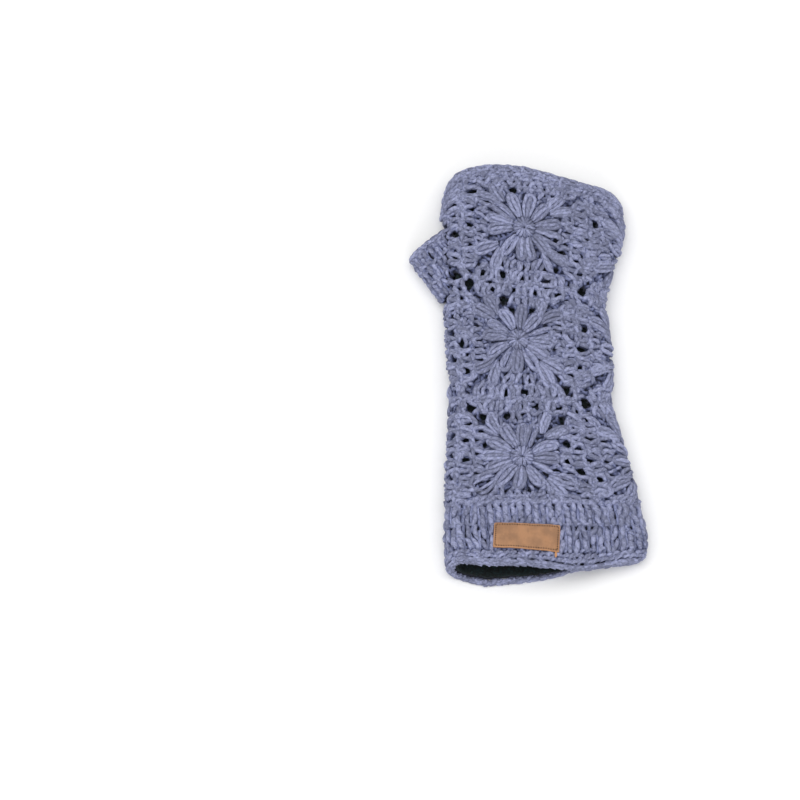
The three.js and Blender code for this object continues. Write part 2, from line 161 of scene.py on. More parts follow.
def outline_point(form, side, depth):
    """A flattened tube's outline. side runs round it: 0 to 1 over the top from left to right, 1 to 2 round
    the right fold, 2 to 3 back along the flat underside, 3 to 4 round the left fold."""
    flat, edge, crown = form["flat"], form["edge"], form["crown"]
    part = np.floor(side) % 4
    along = side - np.floor(side)
    top_x = flat * (2 * along - 1)
    top_z = 2 * edge + crown * (1 + np.cos(np.pi * top_x / flat)) / 2 - depth
    turn = np.where(part == 1, np.pi / 2, -np.pi / 2) - np.pi * along
    fold_x = np.where(part == 1, flat, -flat) + (edge - depth) * np.cos(turn)
    fold_z = edge + (edge - depth) * np.sin(turn)
    across = np.select([part == 0, part == 2], [top_x, -top_x], fold_x)
    up = np.select([part == 0, part == 2], [top_z, depth], fold_z)
    return across, up


def side_of(form, u):
    """The place round the outline of a place u counted in squares."""
    fold = np.pi * form["edge"]
    width = 2 * form["flat"]
    around = 2 * fold + 2 * width
    way = (form["seam"] - fold / 2 + u / 3 * around) % around
    starts = [np.zeros_like(width), width, width + fold, 2 * width + fold]
    part = sum((way > start).astype(int) for start in starts[1:])
    length = np.where(part % 2 == 0, width, fold)
    return part + np.minimum((way - np.choose(part, starts)) / length, 1 - 1e-9)


def at_corner(reach, key):
    return np.where(reach < 0, CORNERS["left"][key], CORNERS["right"][key])


def fabric_point(v, side, depth):
    """A point of the tube's fabric, in metres: v along it, side round it, depth under its skin."""
    form = form_at(v)
    across, up = outline_point(form, side, depth)
    reach = across / (form["flat"] + form["edge"])
    corner = at_corner(reach, "bend") * reach**2 + at_corner(reach, "round") * reach**CORNER_POWER
    pulled = smooth(v, CORNERS["from"], CORNERS["to"]) * corner
    mouth = np.clip((v - MOUTH["from"]) / (MOUTH["to"] - MOUTH["from"]), 0, 1) ** 2
    front = table_at(MOUTH_EDGE, "reach", "front", reach)
    back = table_at(MOUTH_EDGE, "reach", "back", reach)
    drawn = mouth * (back + (front - back) * up / form["height"])
    wall = WALL + LINING_GAP + LINING_WALL
    raised = np.clip((up - wall) / (form["height"] - 2 * wall), 0, 1)
    droop = mouth * MOUTH["droop"] * raised * smooth(reach, MOUTH["level_reach"], MOUTH["drooped_reach"])
    y = v + form["slope"] * across - pulled + drawn
    point = np.stack([form["middle"] + across, y, np.maximum(up - droop, 0)], axis=-1)
    return (point + TO_FRAME) * MM


def on_tube(points):
    """A chart of the whole tube: x round it from the front squares' left seam, y its v."""
    x, y, height = np.moveaxis(points, -1, 0)
    return fabric_point(y, side_of(form_at(y), x / SQUARE), -height)


def row_shares(row):
    """How much the rounds about a flower are pressed in the lower and the upper half of its row."""
    low, middle, high = ROWS[row]
    full = SQUARE / 2 - FLOWER_REACH
    return (middle - low - FLOWER_REACH) / full, (high - middle - FLOWER_REACH) / full


def v_in_row(row, y):
    """The place along the tube of a height on a square's chart."""
    share = np.where(y < 0, *row_shares(row))
    far = np.abs(y)
    eased = np.where(far < FLOWER_REACH, far, FLOWER_REACH + (far - FLOWER_REACH) * share)
    return ROWS[row][1] + np.sign(y) * eased


def height_in_row(row, v):
    """The height on a square's chart of a place along the tube."""
    off = v - ROWS[row][1]
    share = np.where(off < 0, *row_shares(row))
    far = np.abs(off)
    return np.sign(off) * np.where(far < FLOWER_REACH, far, FLOWER_REACH + (far - FLOWER_REACH) / share)


def on_square(column, row):
    """The chart of one square, with the flower's centre at its origin. The flower keeps its size, and the
    rounds about it are pressed or drawn out to fill the row."""

    def place(points):
        x, y, height = np.moveaxis(points, -1, 0)
        return on_tube(np.stack([(column + 0.5) * SQUARE + x, v_in_row(row, y), height], axis=-1))

    return place


def on_thumb(points):
    """The chart of the thumb sleeve: x runs round it and y along its axis."""
    x, q, height = np.moveaxis(points, -1, 0)
    half, edge, tall = (table_at(THUMB_FORM, "q", column, q) for column in ("half", "edge", "height"))
    form = {"flat": half - edge, "edge": edge, "crown": tall - 2 * edge}
    across, up = outline_point(form, x / THUMB_SIDE % 4, -height)
    lean, from_rim = THUMB["lean"], q - THUMB["length"]
    x = THUMB["rim_x"] - from_rim * math.sin(lean) + across * math.cos(lean)
    y = THUMB["rim_y"] + from_rim * math.cos(lean) + across * math.sin(lean)
    return (np.stack([x, y, np.maximum(up, 0)], axis=-1) + TO_FRAME) * MM


def on_patch(points):
    """The chart of the leather patch: x and y from its centre and its height over its underside."""
    x, y, height = np.moveaxis(points, -1, 0)
    v = PATCH["v"] + x * math.sin(PATCH["turn"]) + y * math.cos(PATCH["turn"])
    form = form_at(v)
    across = PATCH["x"] + x * math.cos(PATCH["turn"]) - y * math.sin(PATCH["turn"]) - form["middle"]
    return fabric_point(v, (across / form["flat"] + 1) / 2, -PATCH["under"] - height)


def under_patch(points):
    """The chart of the whole tube, with the stitches pressed flat where the patch lies on them."""
    x, y, height = np.moveaxis(points, -1, 0)
    form = form_at(y)
    side = side_of(form, x / SQUARE)
    off_x = form["flat"] * (2 * side - 1) + form["middle"] - PATCH["x"]
    off_y = y - PATCH["v"]
    cos, sin = math.cos(PATCH["turn"]), math.sin(PATCH["turn"])
    along = np.abs(off_x * cos + off_y * sin) - PATCH["width"] / 2
    across = np.abs(off_y * cos - off_x * sin) - PATCH["height"] / 2
    covered = (side < 1) & (np.maximum(along, across) < 0.3)
    return fabric_point(y, side, -np.where(covered, np.minimum(height, PATCH["under"] - 1.5), height))


def sunk(place, depth):
    """A chart that lies deeper in the fabric."""
    return lambda points: place(points - (0, 0, depth))


def inside_tube(points, clearance):
    """Which points, in metres, lie inside the tube's skin by more than a clearance in millimetres."""
    x, y, z = np.moveaxis(np.asarray(points) / MM - TO_FRAME, -1, 0)
    v = y
    for _ in range(3):
        form = form_at(v)
        across = x - form["middle"]
        reach = np.clip(across / (form["flat"] + form["edge"]), -1, 1)
        pulled = smooth(v, CORNERS["from"], CORNERS["to"]) * at_corner(reach, "bend") * reach**2
        v = y - form["slope"] * across + pulled
    beyond = np.maximum(np.abs(across) - form["flat"], 0)
    in_fold = np.hypot(beyond, z - form["edge"]) < form["edge"] - clearance
    return in_fold | ((beyond == 0) & (z < form["height"] - clearance))


def inside_thumb(points):
    """Which points, in metres, lie in the thumb sleeve's hollow."""
    x, y, z = np.moveaxis(np.asarray(points) / MM - TO_FRAME, -1, 0)
    cos, sin = math.cos(THUMB["lean"]), math.sin(THUMB["lean"])
    off_x, off_y = x - THUMB["rim_x"], y - THUMB["rim_y"]
    q = THUMB["length"] - off_x * sin + off_y * cos
    across = off_x * cos + off_y * sin
    half = table_at(THUMB_FORM, "q", "half", q) - WALL
    tall = table_at(THUMB_FORM, "q", "height", q) - WALL
    return (q > THUMB["root"]) & (q < THUMB["length"] + 5) & (np.abs(across) < half) & (z > WALL) & (z < tall)


# Strands of yarn


class Skein:
    """Strands laid out on a chart, each by a few points, its radius and how far its ends thin out."""

    def __init__(self, seed, spread):
        self.random = np.random.default_rng(seed)
        self.spread = spread
        self.strands = []

    def vary(self, share):
        return 1 + self.random.uniform(-share, share)

    def lay(self, points, radius, start=0.8, end=0.8, firm=4.0, loose=1.0):
        points = np.array(points, float)
        points = points + self.random.normal(0, self.spread * loose, points.shape) * (1, 1, 0.6)
        self.strands.append((points, radius * self.vary(0.08), start, end, firm, self.random.random()))


def resampled(points, count):
    """Smooth curves through rows of points: (strands, points, 3) to (strands, count, 3)."""
    first = 2 * points[:, :1] - points[:, 1:2]
    last = 2 * points[:, -1:] - points[:, -2:-1]
    padded = np.concatenate([first, points, last], axis=1)
    at = np.linspace(0, points.shape[1] - 1, count)
    i = np.minimum(at.astype(int), points.shape[1] - 2)
    t = (at - i)[None, :, None]
    a, b, c, d = (padded[:, i + k] for k in range(4))
    return 0.5 * (2 * b + (c - a) * t + (2 * a - 5 * b + 4 * c - d) * t**2 + (3 * b - a - 3 * c + d) * t**3)


# How strands part at a gap: half a strand's width, the share left over, the power that draws the gap out to
# four corners, the power by which strands further off stay where they are, half the size up to which it is a
# slit that only parts them, and how near its middle a strand may pass, as a share of its size
PARTING = {"strand": 1.05, "room": 1.06, "corners": 1.4, "ease": 3, "slit": 1, "through": 0.4}


def opened(points, gaps):
    """Moves strands aside, as stitches are held open round a gap, far enough to leave the gap its size. Each
    gap's corners point another way."""
    corners, ease = PARTING["corners"], PARTING["ease"]
    for x, y, wide, high in gaps:
        size = np.array((wide + PARTING["strand"], high + PARTING["strand"])) * PARTING["room"]
        off = (points[..., :2] - (x, y)) / size
        way = 3 * x + 5 * y
        along = off[..., 0] * math.cos(way) + off[..., 1] * math.sin(way)
        across = off[..., 1] * math.cos(way) - off[..., 0] * math.sin(way)
        far = (np.abs(along) ** corners + np.abs(across) ** corners + 1e-4) ** (1 / corners)
        wider = (far**ease + 1) ** (1 / ease) / far
        points[..., :2] = (x, y) + off * wider[..., None] * size
    return points


def crosses_gap(points, gaps):
    """Whether a strand would pass right through a gap that is more than a slit."""
    for x, y, wide, high in gaps:
        if min(wide, high) > PARTING["slit"]:
            off = np.linalg.norm((points[:, :2] - (x, y)) / (wide, high), axis=-1)
            if off.min() < PARTING["through"]:
                return True
    return False


def corners_of(mesh):
    return np.array([corner.co for corner in mesh.vertices])


def move_corners(mesh, corners):
    mesh.vertices.foreach_set("co", corners.astype(np.float32).ravel())


STRAND_SIDES = 5
TEMPLATES = {}


def strand_template(rings):
    """One closed strand, modelled once: a round end drawn up ring by ring. Its corners are counted round each
    ring and ring after ring. Returns its sorted faces, with the turn of each of their corners."""
    if rings in TEMPLATES:
        return TEMPLATES[rings]
    bpy.ops.mesh.primitive_circle_add(vertices=STRAND_SIDES, radius=1, fill_type="NGON", location=(0, 0, 0))
    strand = bpy.context.object
    bpy.ops.object.mode_set(mode="EDIT")
    bpy.ops.mesh.select_all(action="SELECT")
    for _ in range(rings - 1):
        bpy.ops.mesh.extrude_region_move(TRANSFORM_OT_translate={"value": (0, 0, 1)})
    bpy.ops.mesh.select_all(action="SELECT")
    bpy.ops.mesh.normals_make_consistent(inside=False)
    bpy.ops.object.mode_set(mode="OBJECT")
    mesh = strand.data
    x, y, z = corners_of(mesh).T
    side = np.round(np.arctan2(y, x) / (2 * np.pi / STRAND_SIDES)).astype(int) % STRAND_SIDES
    counted = np.round(z).astype(int) * STRAND_SIDES + side
    faces = sorted((counted[list(face.vertices)] for face in mesh.polygons), key=sorted)
    turns = []
    for face in faces:
        turn = face % STRAND_SIDES
        if len(face) == 4 and turn.max() - turn.min() > 1:
            turn[turn == 0] = STRAND_SIDES
        turns.append(turn / STRAND_SIDES)
    bpy.data.objects.remove(strand)
    bpy.data.meshes.remove(mesh)
    TEMPLATES[rings] = {
        "corners": np.concatenate(faces),
        "sizes": np.array([len(face) for face in faces]),
        "turns": np.concatenate(turns),
    }
    return TEMPLATES[rings]


def swept(paths, radii):
    """Rings of corners along paths in space, turned so that they don't twist: (strands, rings, sides, 3)."""
    ways = np.gradient(paths, axis=1)
    ways /= np.maximum(np.linalg.norm(ways, axis=-1, keepdims=True), 1e-12)
    across = np.cross(ways[:, 0], (0.123, 0.456, 0.882))
    across /= np.linalg.norm(across, axis=-1, keepdims=True)
    angles = np.arange(STRAND_SIDES) * 2 * np.pi / STRAND_SIDES
    cos, sin = np.cos(angles)[None, :, None], np.sin(angles)[None, :, None]
    rings = []
    for i in range(paths.shape[1]):
        across = across - (across * ways[:, i]).sum(-1, keepdims=True) * ways[:, i]
        across /= np.maximum(np.linalg.norm(across, axis=-1, keepdims=True), 1e-12)
        beside = np.cross(ways[:, i], across)
        round_it = cos * across[:, None] + sin * beside[:, None]
        rings.append(paths[:, i, None] + radii[:, i, None, None] * round_it)
    return np.stack(rings, axis=1)


def open_to_light(height, facing):
    """How little a place on a strand is shaded by its neighbours, from its height over the skin and how far it
    faces outwards. It is painted into the strand's colour as shade."""
    return smooth(height, -1.6, 1.7) * (0.7 + 0.3 * np.clip(facing, 0, 1))


def mesh_of(name, made):
    """A smooth mesh from its corners, its faces one after another and its strands' map and values."""
    made = {key: np.concatenate(values) for key, values in made.items()}
    sizes = made["sizes"]
    mesh = bpy.data.meshes.new(name)
    mesh.vertices.add(len(made["corners"]))
    move_corners(mesh, made["corners"])
    mesh.loops.add(len(made["loops"]))
    mesh.loops.foreach_set("vertex_index", made["loops"].astype(np.int32))
    mesh.polygons.add(len(sizes))
    starts = np.concatenate([[0], sizes.cumsum()[:-1]])
    mesh.polygons.foreach_set("loop_start", starts.astype(np.int32))
    mesh.polygons.foreach_set("use_smooth", np.ones(len(sizes), bool))
    mesh.uv_layers.new(name="yarn").data.foreach_set("uv", made["yarn"].astype(np.float32).ravel())
    for key in ("tone", "painted_light_share"):
        layer = mesh.attributes.new(key, "FLOAT", "POINT")
        layer.data.foreach_set("value", made[key].astype(np.float32))
    mesh.update(calc_edges=True)
    mesh.validate()
    return mesh


def strands_mesh(name, skein, place, material, step=1.5, gaps=(), keep=None, bare=None):
    """All strands of a skein as copies of the strand template, laid along their paths, in one mesh. keep tells
    which strands stay, and bare how open to the light a place is at least, for the shade painted on the
    strands."""
    groups = {}
    for strand in skein.strands:
        points = strand[0]
        if gaps and crosses_gap(resampled(points[None], 12)[0], gaps):
            continue
        length = np.linalg.norm(np.diff(points, axis=0), axis=1).sum()
        rings = int(np.clip(round(length / step) + 1, 4, 24))
        groups.setdefault((len(points), rings), []).append(strand)
    made = {key: [] for key in ("corners", "loops", "sizes", "yarn", "tone", "painted_light_share")}
    count = 0
    for (_, rings), strands in sorted(groups.items(), key=lambda item: item[0]):
        charted = opened(resampled(np.array([strand[0] for strand in strands]), rings), gaps)
        radius, start, end, firm, tone = np.array([strand[1:] for strand in strands]).T[..., None]
        along = np.linspace(0, 1, rings)
        thinned = (1 - start) * (1 - along) ** firm + (1 - end) * along**firm
        radii = radius * (1 - thinned) * MM
        paths = place(charted)
        out = place(charted + (0, 0, 0.5)) - paths
        out /= np.maximum(np.linalg.norm(out, axis=-1, keepdims=True), 1e-9)
        if keep is not None:
            kept = keep(paths)
            paths, radii, tone, out, charted = (each[kept] for each in (paths, radii, tone, out, charted))
        if not len(paths):
            continue
        paths[..., 2] = np.maximum(paths[..., 2], radii)
        rings_made = swept(paths, radii)
        facing = ((rings_made - paths[:, :, None]) * out[:, :, None]).sum(-1) / radii[:, :, None]
        # Painted shade: how open each corner is to the light, which darkens the strands' colour low in the
        # fabric and on their sides
        painted_light_share = open_to_light(charted[..., 2, None] + facing * radii[:, :, None] / MM, facing)
        if bare is not None:
            painted_light_share = np.maximum(painted_light_share, bare(charted)[..., None])
        steps = np.linalg.norm(np.diff(paths, axis=1), axis=-1)
        lengths = np.concatenate([np.zeros((len(paths), 1)), steps.cumsum(axis=1)], axis=1) + tone * 0.7
        shape = strand_template(rings)
        at_loop = lengths[:, shape["corners"] // STRAND_SIDES]
        turn = np.broadcast_to(shape["turns"], at_loop.shape)
        first = count + np.arange(len(paths)) * rings * STRAND_SIDES
        made["corners"].append(rings_made.reshape(-1, 3))
        made["loops"].append((shape["corners"][None] + first[:, None]).ravel())
        made["sizes"].append(np.tile(shape["sizes"], len(paths)))
        made["yarn"].append(np.stack([at_loop, turn], axis=-1).reshape(-1, 2))
        made["tone"].append(np.repeat(tone, rings * STRAND_SIDES))
        made["painted_light_share"].append(painted_light_share.ravel())
        count += len(made["corners"][-1])
    thing = bpy.data.objects.new(name, mesh_of(name, made))
    bpy.context.scene.collection.objects.link(thing)
    give_material(thing, material)
    return thing


def give_material(thing, material):
    thing.data.materials.clear()
    thing.data.materials.append(material)


def select_only(*things):
    bpy.ops.object.select_all(action="DESELECT")
    for thing in things:
        thing.select_set(True)
    bpy.context.view_layer.objects.active = things[0]


def apply_modifier(thing, kind, **settings):
    select_only(thing)
    modifier = thing.modifiers.new(kind.title(), kind)
    for key, value in settings.items():
        setattr(modifier, key, value)
    bpy.ops.object.modifier_apply(modifier=modifier.name)


def flat_grid(name, spans, low, high):
    """A grid of faces on a chart, from its low corner to its high one."""
    bpy.ops.object.select_all(action="DESELECT")
    across, along = spans
    bpy.ops.mesh.primitive_grid_add(x_subdivisions=across, y_subdivisions=along, size=2, location=(0, 0, 0))
    grid = bpy.context.object
    grid.name = name
    corners = corners_of(grid.data)
    for axis in (0, 1):
        corners[:, axis] = low[axis] + (high[axis] - low[axis]) * (corners[:, axis] + 1) / 2
    return grid, corners


def fabric_sheet(name, material, across, along, spans, place, thickness, keep=None, closed=False):
    """A sheet of fabric on a chart: a grid bent to its place, with the faces that keep leaves out deleted, its
    ends merged where it closes round a tube, and given its thickness inwards."""
    sheet, charted = flat_grid(name, spans, (across[0], along[0]), (across[1], along[1]))
    mesh = sheet.data
    placed = place(charted)
    move_corners(mesh, placed)
    mesh.update()
    bpy.ops.object.mode_set(mode="EDIT")
    bpy.ops.mesh.select_mode(type="FACE")
    if keep is not None:
        faces = [list(face.vertices) for face in mesh.polygons]
        middles, spots = (np.array([at[face].mean(axis=0) for face in faces]) for at in (charted, placed))
        bpy.ops.mesh.select_all(action="DESELECT")
        bpy.ops.object.mode_set(mode="OBJECT")
        mesh.polygons.foreach_set("select", ~keep(middles, spots))
        bpy.ops.object.mode_set(mode="EDIT")
        bpy.ops.mesh.delete(type="FACE")
    bpy.ops.mesh.select_all(action="SELECT")
    if closed:
        bpy.ops.mesh.remove_doubles(threshold=0.00001)
    bpy.ops.object.mode_set(mode="OBJECT")
    apply_modifier(sheet, "SOLIDIFY", thickness=thickness * MM, offset=-1)
    bpy.ops.object.shade_smooth()
    give_material(sheet, material)
    return sheet


# Stitches, each laid on a chart


def turned(points, degrees, origin=(0, 0)):
    way = math.radians(degrees)
    points = np.array(points, float)
    x = origin[0] + points[:, 0] * math.cos(way) - points[:, 1] * math.sin(way)
    y = origin[1] + points[:, 0] * math.sin(way) + points[:, 1] * math.cos(way)
    return np.stack([x, y, points[:, 2]], axis=1)


def spot_at(x, y, degrees, origin=(0, 0)):
    """Where a spot comes when it is turned."""
    return turned([(x, y, 0)], degrees, origin)[0][:2]


# One side of a puff stitch's loop: the share of its length, how far it spreads and its height
PUFF_SIDE = ((0.0, 0.42, -0.2), (0.14, 0.6, 0.4), (0.4, 0.9, 0.8), (0.68, 1.0, 0.9), (0.9, 0.88, 0.5))


def puff(skein, base, degrees, length, width, loops, radius, raised=0.0):
    """A loop drawn up long from its base and closed round its top, with further strands between its sides
    and two low ones that fill its valleys."""
    random = skein.random
    half = width / 2 - radius
    bend = random.normal(0, 0.5)

    def bowed(along, across, height):
        across += bend * (1 - (2 * along - 1) ** 2)
        return length * along, across, height + raised * min(1, 2.5 * along)

    lifts = random.normal(0, 0.25, 2)
    rise = [bowed(along, half * spread, height + lifts[0]) for along, spread, height in PUFF_SIDE]
    fall = [bowed(along * 0.98, -half * spread, height + lifts[1]) for along, spread, height in PUFF_SIDE]
    tip = [bowed(1.01, half * 0.4, 0.0), bowed(1.01, -half * 0.4, -0.1)]
    skein.lay(turned(rise + tip + fall[::-1], degrees, base), radius, start=0.45, end=0.45, firm=6, loose=0.6)
    for k in range(loops - 2):
        share = (k + 1) / (loops - 1) * 2 - 1 + random.normal(0, 0.08)
        aside = half * share
        points = [bowed(along * 0.94, aside * spread, height + 0.6) for along, spread, height in PUFF_SIDE]
        points.append(bowed(0.95, aside * 0.5, -1.0))
        skein.lay(turned(points, degrees, base), radius, start=0.45, end=0.7, firm=3, loose=0.6)
    for aside in (-0.5 * half, 0.5 * half):
        points = [bowed(along, aside * spread, height - 0.8) for along, spread, height in PUFF_SIDE]
        skein.lay(turned(points, degrees, base), radius * 0.95, start=0.4, end=0.5, firm=3, loose=0.5)


# A tall stitch of the flower's centre: the share of its length and its height
HEART_STITCH = ((0.0, -0.2), (0.2, 0.6), (0.5, 1.0), (0.8, 0.7), (1.0, -0.4))


def heart(skein, count, radius):
    """The round of tall stitches worked into the centre, close together."""
    inner, outer = ROUNDS["heart_base"], ROUNDS["heart_top"]
    for k in range(count):
        degrees = 360 * (k + skein.random.normal(0, 0.1)) / count
        raised = skein.random.normal(0, 0.2)
        points = [(inner + (outer - inner) * share, 0, height + raised) for share, height in HEART_STITCH]
        skein.lay(turned(points, degrees), radius, start=0.4, end=0.6, firm=1.6, loose=0.8)
        low = [(1.0, 0, -0.8), (3.5, 0, -0.2), (outer + 1.5, 0, -0.7)]
        skein.lay(turned(low, degrees + 180 / count), radius, start=0.5, end=0.5, firm=2)


def bead(skein, spot, degrees, length, radius, lift, curl):
    """A short plump bit of a strand that comes up out of the fabric and goes down again."""
    half, low = length / 2, lift - 1.8
    points = [(-half, -curl, low), (-0.5 * half, curl, lift), (0.5 * half, curl, lift), (half, -curl, low)]
    skein.lay(turned(points, degrees, spot), radius)


def post(skein, base, top, radius, lift):
    """A stitch's post: two plump strands, each half a turn round the other, that dip in at both ends."""
    base = np.array(base, float)
    way = np.array(top, float) - base
    length, degrees = np.linalg.norm(way), math.degrees(math.atan2(way[1], way[0]))
    random = skein.random
    hand = 1 if random.random() < 0.75 else -1
    first = random.uniform(0, 2 * math.pi)
    lift += random.normal(0, 0.4)
    for strand in (0, math.pi):
        points = []
        for share in np.linspace(-0.06, 1.06, 6):
            angle = first + strand + hand * math.pi * share
            dip = 1.7 * abs(2 * share - 1) ** 5
            height = lift + 0.6 * radius * math.sin(angle) - dip
            points.append((share * length, radius * math.cos(angle), height))
        skein.lay(turned(points, degrees, base), radius * skein.vary(0.08))


def knot(skein, spot, degrees, radius, lift, length=4.4):
    """The two loops of a stitch's head, one slanting across it and one curled beside it."""
    random = skein.random
    slant = random.normal(18, 14)
    curl = random.uniform(0.1, 0.6)
    bead(skein, spot, degrees + slant, length * skein.vary(0.25), radius, lift + random.normal(0, 0.45), curl)
    beside = spot_at(random.normal(0, 0.9), -1.7, degrees, spot)
    bead(skein, beside, degrees - slant, length * 0.85, radius * 0.95, lift - 0.5, -random.uniform(0.2, 0.9))


def tall_stitch(skein, x, low, high, radius, beside):
    """A treble: plump slanting loops stacked from its foot to its head, and a sunken strand beside it."""
    random = skein.random
    length = high - low
    count = int(random.choice((2, 2, 3)))
    hand = random.choice((-1, 1))
    x += random.normal(0, 0.2)
    half = 0.6 * length / count
    for k in range(count):
        middle = low + (k + 0.5 + random.normal(0, 0.06)) / count * length
        slant = hand * random.uniform(0.05, 0.32)
        raised = random.normal(0.0, 0.25)
        points = [
            (x + slant * half * share, middle + half * share, raised - 1.1 * abs(share) ** 3)
            for share in (-1, -0.6, 0, 0.6, 1)
        ]
        skein.lay(points, radius * skein.vary(0.12), start=0.45, end=0.45, firm=3.5)
    points = [(x + beside, low + share * length, -0.8) for share in (-0.04, 0.3, 0.7, 1.04)]
    skein.lay(points, radius * 0.72)


def rolled_rim(skein, count, pitch, rim, out, roll, radius):
    """Long loops that overlap along an edge, row on row, which make its rounded rim."""
    for depth, shift in roll:
        v = rim + shift * out
        for k in range(count):
            x = (k + skein.random.normal(0, 0.08)) * pitch
            loop = [
                (x - 0.35 * pitch, v + 0.6, -depth - 0.9),
                (x + 0.15 * pitch, v + 0.35, -depth),
                (x + 0.9 * pitch, v - 0.35, -depth + 0.1),
                (x + 1.4 * pitch, v - 0.6, -depth - 0.9),
            ]
            skein.lay(loop, radius * 0.88 * skein.vary(0.1))


# A front flower's petals and the two puffs at each corner, as directions in degrees, how wide the corners'
# puffs are, and the gaps round it: x and y from the flower's middle as seen from above, and half the width
# and height. Those beyond the square's own width belong to its neighbours.
FLOWERS = {
    "top": {
        "petals": (18, -8, -38, -65, -95, -123, -167, 172, 148, 113, 82, 50),
        "corners": ((22, 60), (118, 155), (205, 255), (305, 332)),
        "widths": ((7.6, 8), (7.6, 8.6), (8, 7.6), (8.4, 7.6)),
        "gaps": (
            (-30, 24, 2.8, 1.8), (-6.5, 24.5, 2.5, 1.5), (17, 19.5, 1.6, 0.9), (-22.5, 16.5, 2, 1.2),
            (-31, 12.5, 1.5, 1.3), (-33, 3, 2.5, 1.8), (-26.5, 7, 0.9, 1.8), (-33, -10, 2, 1.2),
            (-24.5, -27.5, 1.8, 1.3), (-32.5, -22, 2.5, 0.9), (-8, -17.5, 1.5, 0.8), (21.5, -15.5, 1.8, 1.5),
            (18.5, -8.5, 1.6, 1.6), (19, -26.5, 1.8, 1.4), (33, -28.5, 3, 1), (34, -17, 1.5, 1.5),
            (32, -21, 2.5, 0.6), (-13, -29, 1.7, 2.5), (-20.5, -34, 1.8, 1.8), (-1.5, -32.5, 1.6, 2.3),
            (12, -34.5, 2.8, 1.4), (-32.5, -33.5, 2.7, 3.2), (31, 1, 2.2, 1), (40.5, 3, 2, 1.8),
            (37, -7, 2, 1), (-41, 9, 3, 1.8), (-41, -2.5, 2.6, 2.2), (-41, -29, 4.6, 2.6),
        ),
    },
    "mid": {
        "petals": (0, 18, 55, 78, 115, 150, 175, 210, 240, 270, 300, 330),
        "corners": ((28, 75), (123, 155), (210, 252), (300, 335)),
        "widths": ((8.4, 7), (7, 7.6), (8, 7.6), (9, 8)),
        "gaps": (
            (-34, 32, 1.6, 1.4), (-14.5, 31.5, 1.6, 1.6), (-2.5, 31.5, 1.5, 2.8), (9.5, 28.5, 1.6, 1.8),
            (17, 32, 2.8, 1.8), (23.5, 28.5, 2.2, 1.8), (-8.5, 25, 1.8, 3), (-33, 26, 2, 1.5),
            (-33, 12, 1.5, 2.2), (-33, -1.5, 2.2, 3), (-30.5, -18.5, 2, 2), (-22.5, -11.5, 1.6, 1),
            (31.5, 1, 2.5, 2.2), (31, -22.5, 1.5, 1), (28.5, -30.5, 1.5, 2), (3.5, -33.5, 2, 2),
            (-7.5, -33, 1.5, 2.3), (-3, 19, 1.8, 1.3), (8, 18.5, 1.8, 1.2), (-7, -22, 1.5, 1.2),
            (0, -27.5, 2.5, 0.7), (32.5, 12.5, 2, 0.7), (32, -10.5, 2.5, 0.6), (24.5, 5.5, 1.2, 0.8),
            (-18, -31.5, 2, 0.8), (-31, 18.5, 2.4, 0.5), (-31, -9, 2.6, 0.5), (13.5, 21.5, 1.4, 0.8),
            (38, 7, 2.5, 2.5), (37.5, 30, 2.5, 2.5), (37.5, -6, 3, 2), (36.5, -16.5, 2.2, 1.5),
            (38, -38, 3, 2),
        ),
    },
    "low": {
        "petals": (20, -8, -33, -65, -98, -123, -158, 176, 152, 117, 88, 63),
        "corners": ((22, 75), (118, 160), (212, 252), (302, 335)),
        "widths": ((7.6, 6.6), (7.6, 7.6), (13, 7), (8, 8.4)),
        "gaps": (
            (-29, 31, 3, 2.6), (-22.5, 25, 2.2, 1.5), (-31.5, 20.5, 2.5, 1), (-24, 15.5, 1.5, 1.2),
            (-32.5, 10, 1.8, 1), (-22.5, 8, 1.8, 1), (-33.5, -1, 1.7, 1.8), (-9.5, 25.5, 1.5, 1.6),
            (1.5, 25.5, 2.8, 0.8), (7, 32, 2.8, 2.2), (12.5, 24, 1.5, 2), (21.5, 30.5, 1.8, 2.5),
            (23, 22.5, 1.3, 2.3), (32.5, 28, 1.5, 1.3), (33, 4.5, 2.5, 1.2), (33.5, -9, 2.4, 1.8),
            (20, -8.5, 1.8, 1.3), (25, -14.5, 1.5, 1.6), (33, -22.5, 2.6, 1.1), (-14.5, -23.5, 2.2, 1.4),
            (9.5, -25, 2.5, 1.2), (-9, -19.5, 1.6, 0.8), (2.5, -21, 1.5, 1), (26.5, 8, 1.2, 1.5),
            (27, -3, 1, 1.8), (-28, -22, 3, 0.7), (37, 33, 3, 2), (38, 22.5, 2.8, 1),
            (39, 11, 2.5, 1.5), (39.5, -2, 2.5, 1.3), (38.5, -16, 2, 0.8),
        ),
    },
}
# A puff wider than this is a single open loop, raised over the others
OPEN_PUFF = 10
# The same in the squares that don't show: the corners' two puffs, and the gaps beside the middle of the right
# side of each
PLAIN_CORNER = {"directions": (27, 66), "widths": (7.6, 7.6)}
PLAIN_GAPS = ((30.5, -12, 2.2, 1.8), (31, 0, 2.4, 2.1), (30, 12, 2, 1.9))
# How far the rounds of a square reach from its middle
ROUNDS = {
    "heart_base": 0.6, "heart_top": 6.3, "petal_base": 6.5, "petal_top": 20.6, "corner_base": 18.4,
    "first_head": 27.0, "second_head": 33.9,
}
# Where the posts of the two rounds stand along a side of the square
POST_PITCH = 4.2
FIRST_POSTS = POST_PITCH * np.arange(-3, 4)
SECOND_POSTS = POST_PITCH * np.arange(-6, 7)
# How far apart the knots of the stitches' heads are, and the filling strands under the stitches
KNOT_PITCH = 3.6
FILLER_PITCH = 3.1


def seen_from_above(place, spots):
    """Where on a chart the spots lie which are seen at given x and y from the chart's origin."""
    charted = spots.copy()
    origin = place(np.zeros((1, 3)))[0, :2]
    for _ in range(6):
        seen = (place(np.column_stack([charted, np.zeros(len(charted))]))[:, :2] - origin) / MM
        charted += spots - seen
    return charted


